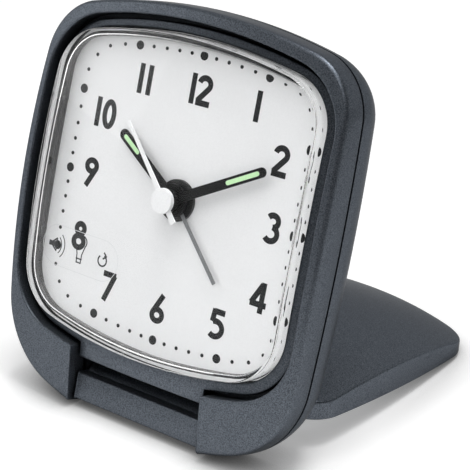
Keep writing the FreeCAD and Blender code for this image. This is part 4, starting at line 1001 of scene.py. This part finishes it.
# ---- studio, in metres
# Each lamp by the setting that holds its strength: its place and the length of its sides.
LAMPS = {"key": ((-0.75, -0.45, 0.45), 0.6), "front": ((0.12, -0.42, 0.85), 0.6),
         "overhead": ((0.1, 0.08, 0.9), 0.3)}
LAMP_AIM = (0, 0, 0.03)
FLOOR_RADIUS, FLOOR_DROP = 1.2, 0.00002
# How near to the clock the painted contact shadow on the floor reaches, and where the floor goes dim with painted
# shade for shiny things.
PAINTED_SHADOW_REACH, DIM_FROM, DIM_TO = 0.008, 0.1, 0.25
BRIGHT_SIDE = (-0.6, 0.45, -1.0)
WHITE = (1, 1, 1, 1)


def floor_finish(studio):
    """A pale matt floor, lifted towards white where it is seen and plain where it lights, with a painted contact
    shadow that darkens it where the clock stands close; glossy things see painted shade on it, dim towards the
    right."""
    material, tree, shader = new_material("floor", (0, 0, 0), 0.9)
    # Painted contact shadow: ambient occlusion darkens the floor's colour and its white lift near the clock.
    painted_contact_shadow = add_node(tree, "AmbientOcclusion", Distance=PAINTED_SHADOW_REACH, samples=12,
                       Color=(*studio.floor, 1))
    tree.links.new(painted_contact_shadow.outputs["Color"], shader.inputs["Base Color"])
    glow = add_node(tree, "Emission")
    tree.links.new(reckoned(tree, "MULTIPLY", painted_contact_shadow.outputs["AO"], studio.lift),
                   glow.inputs["Strength"])
    both = add_node(tree, "AddShader")
    tree.links.new(shader.outputs[0], both.inputs[0])
    tree.links.new(glow.outputs[0], both.inputs[1])
    seen = any_ray(tree, "Is Camera Ray", "Is Glossy Ray", "Is Transmission Ray")
    surface = blended(tree, seen, shader.outputs[0], both.outputs[0])

    # Painted shade for glossy rays: towards the right they see a dim glow in place of the floor.
    rightness = ranged(tree, towards(tree, "Object", ACROSS), DIM_FROM, DIM_TO, at_low=0.0,
                       at_high=0.8)
    mirrored = reckoned(tree, "MULTIPLY", rightness, any_ray(tree, "Is Glossy Ray"))
    painted_dim_floor = add_node(tree, "Emission", Strength=0.03)
    surface = blended(tree, mirrored, surface, painted_dim_floor.outputs[0])
    tree.links.new(surface, tree.nodes["Material Output"].inputs["Surface"])
    return material


def studio_floor(scene, studio):
    """A round floor a hair below the clock."""
    mesh = bpy.data.meshes.new("floor")
    ring = arc(0, 0, FLOOR_RADIUS, 0, 360, steps=97)[:-1]
    mesh.from_pydata(lifted(ring, -FLOOR_DROP).tolist(), [], [list(range(len(ring)))])
    mesh.materials.append(floor_finish(studio))
    floor = bpy.data.objects.new("floor", mesh)
    scene.collection.objects.link(floor)


def surroundings(scene, studio):
    """A room that shiny things see white to the left, behind and below, and dim to the right,
    in front and overhead. It lights the rest evenly, clear things see it a little less than
    white, and the camera sees it white."""
    world = bpy.data.worlds.new("surroundings")
    scene.world = world
    world.use_nodes = True
    tree = world.node_tree
    tree.nodes.clear()
    plain = add_node(tree, "Background", Strength=studio.world)
    shown = add_node(tree, "Background")
    through = add_node(tree, "Background", Color=WHITE, Strength=0.8)
    white = add_node(tree, "Background", Color=WHITE, Strength=1.0)
    tone = ranged(tree, towards(tree, "Object", BRIGHT_SIDE), low=-0.9, high=0.3, at_low=0.05,
                  at_high=1.0)
    tree.links.new(tone, shown.inputs["Strength"])
    seen = plain.outputs[0]
    for kind, view in (("Is Glossy Ray", shown), ("Is Transmission Ray", through),
                       ("Is Camera Ray", white)):
        seen = blended(tree, any_ray(tree, kind), seen, view.outputs[0])
    output = add_node(tree, "OutputWorld")
    tree.links.new(seen, output.inputs["Surface"])


def lamp(name, place, side, power):
    """A soft square lamp that faces the clock."""
    light = bpy.data.lights.new(name, "AREA")
    light.shape = "SQUARE"
    light.size = side
    light.energy = power
    holder = bpy.data.objects.new(name, light)
    aim = Vector(LAMP_AIM) - Vector(place)
    holder.matrix_world = (Matrix.Translation(place)
                           @ aim.to_track_quat("-Z", "Y").to_matrix().to_4x4())
    bpy.context.scene.collection.objects.link(holder)


# The camera in the dial's frame, in millimetres: where it stands, what is to its right, and
# what is up.
CAMERA_PLACE = (172.8, 47.5, 229.4)
CAMERA_RIGHT, CAMERA_UP = (0.7876, 0.1827, -0.5885), (-0.2517, 0.9671, -0.0365)
CAMERA_LENS = 129.9


def camera(scene):
    """A long lens, with its right and up made square to each other."""
    lens = bpy.data.cameras.new("camera")
    lens.lens = CAMERA_LENS
    lens.clip_start, lens.clip_end = 0.01, 10
    holder = bpy.data.objects.new("camera", lens)
    right, up = Vector(DIAL_AXES.T @ CAMERA_RIGHT), Vector(DIAL_AXES.T @ CAMERA_UP)
    back = right.cross(up).normalized()
    right = up.cross(back).normalized()
    turn = Matrix((right, up.normalized(), back)).transposed().to_4x4()
    holder.matrix_world = Matrix.Translation(Vector(from_dial(CAMERA_PLACE))) @ turn
    scene.collection.objects.link(holder)
    scene.camera = holder


STEPS = (CLOCK_OT_case, CLOCK_OT_cover, CLOCK_OT_lens, CLOCK_OT_dial, CLOCK_OT_hands,
         CLOCK_OT_back, CLOCK_OT_insides, CLOCK_OT_studio)


class CLOCK_PT_panel(Panel):
    """The steps in order, and what can be changed"""
    bl_idname = "CLOCK_PT_panel"
    bl_label = "Travel clock"
    bl_space_type = "VIEW_3D"
    bl_region_type = "UI"
    bl_category = "Clock"

    def draw(self, context):
        for step in STEPS:
            self.layout.operator(step.bl_idname)
        for group in (context.scene.clock_settings, context.scene.studio_settings):
            column = self.layout.column()
            for name in group.__annotations__:
                column.prop(group, name)


CLASSES = (ClockSettings, StudioSettings, *STEPS, CLOCK_PT_panel)


def register():
    for one in CLASSES:
        bpy.utils.register_class(one)
    bpy.types.Scene.clock_settings = PointerProperty(type=ClockSettings)
    bpy.types.Scene.studio_settings = PointerProperty(type=StudioSettings)


def unregister():
    del bpy.types.Scene.studio_settings
    del bpy.types.Scene.clock_settings
    for one in reversed(CLASSES):
        bpy.utils.unregister_class(one)


def main():
    register()
    for step in STEPS:
        group, action = step.bl_idname.split(".")
        getattr(getattr(bpy.ops, group), action)()


if __name__ == "__main__":
    main()
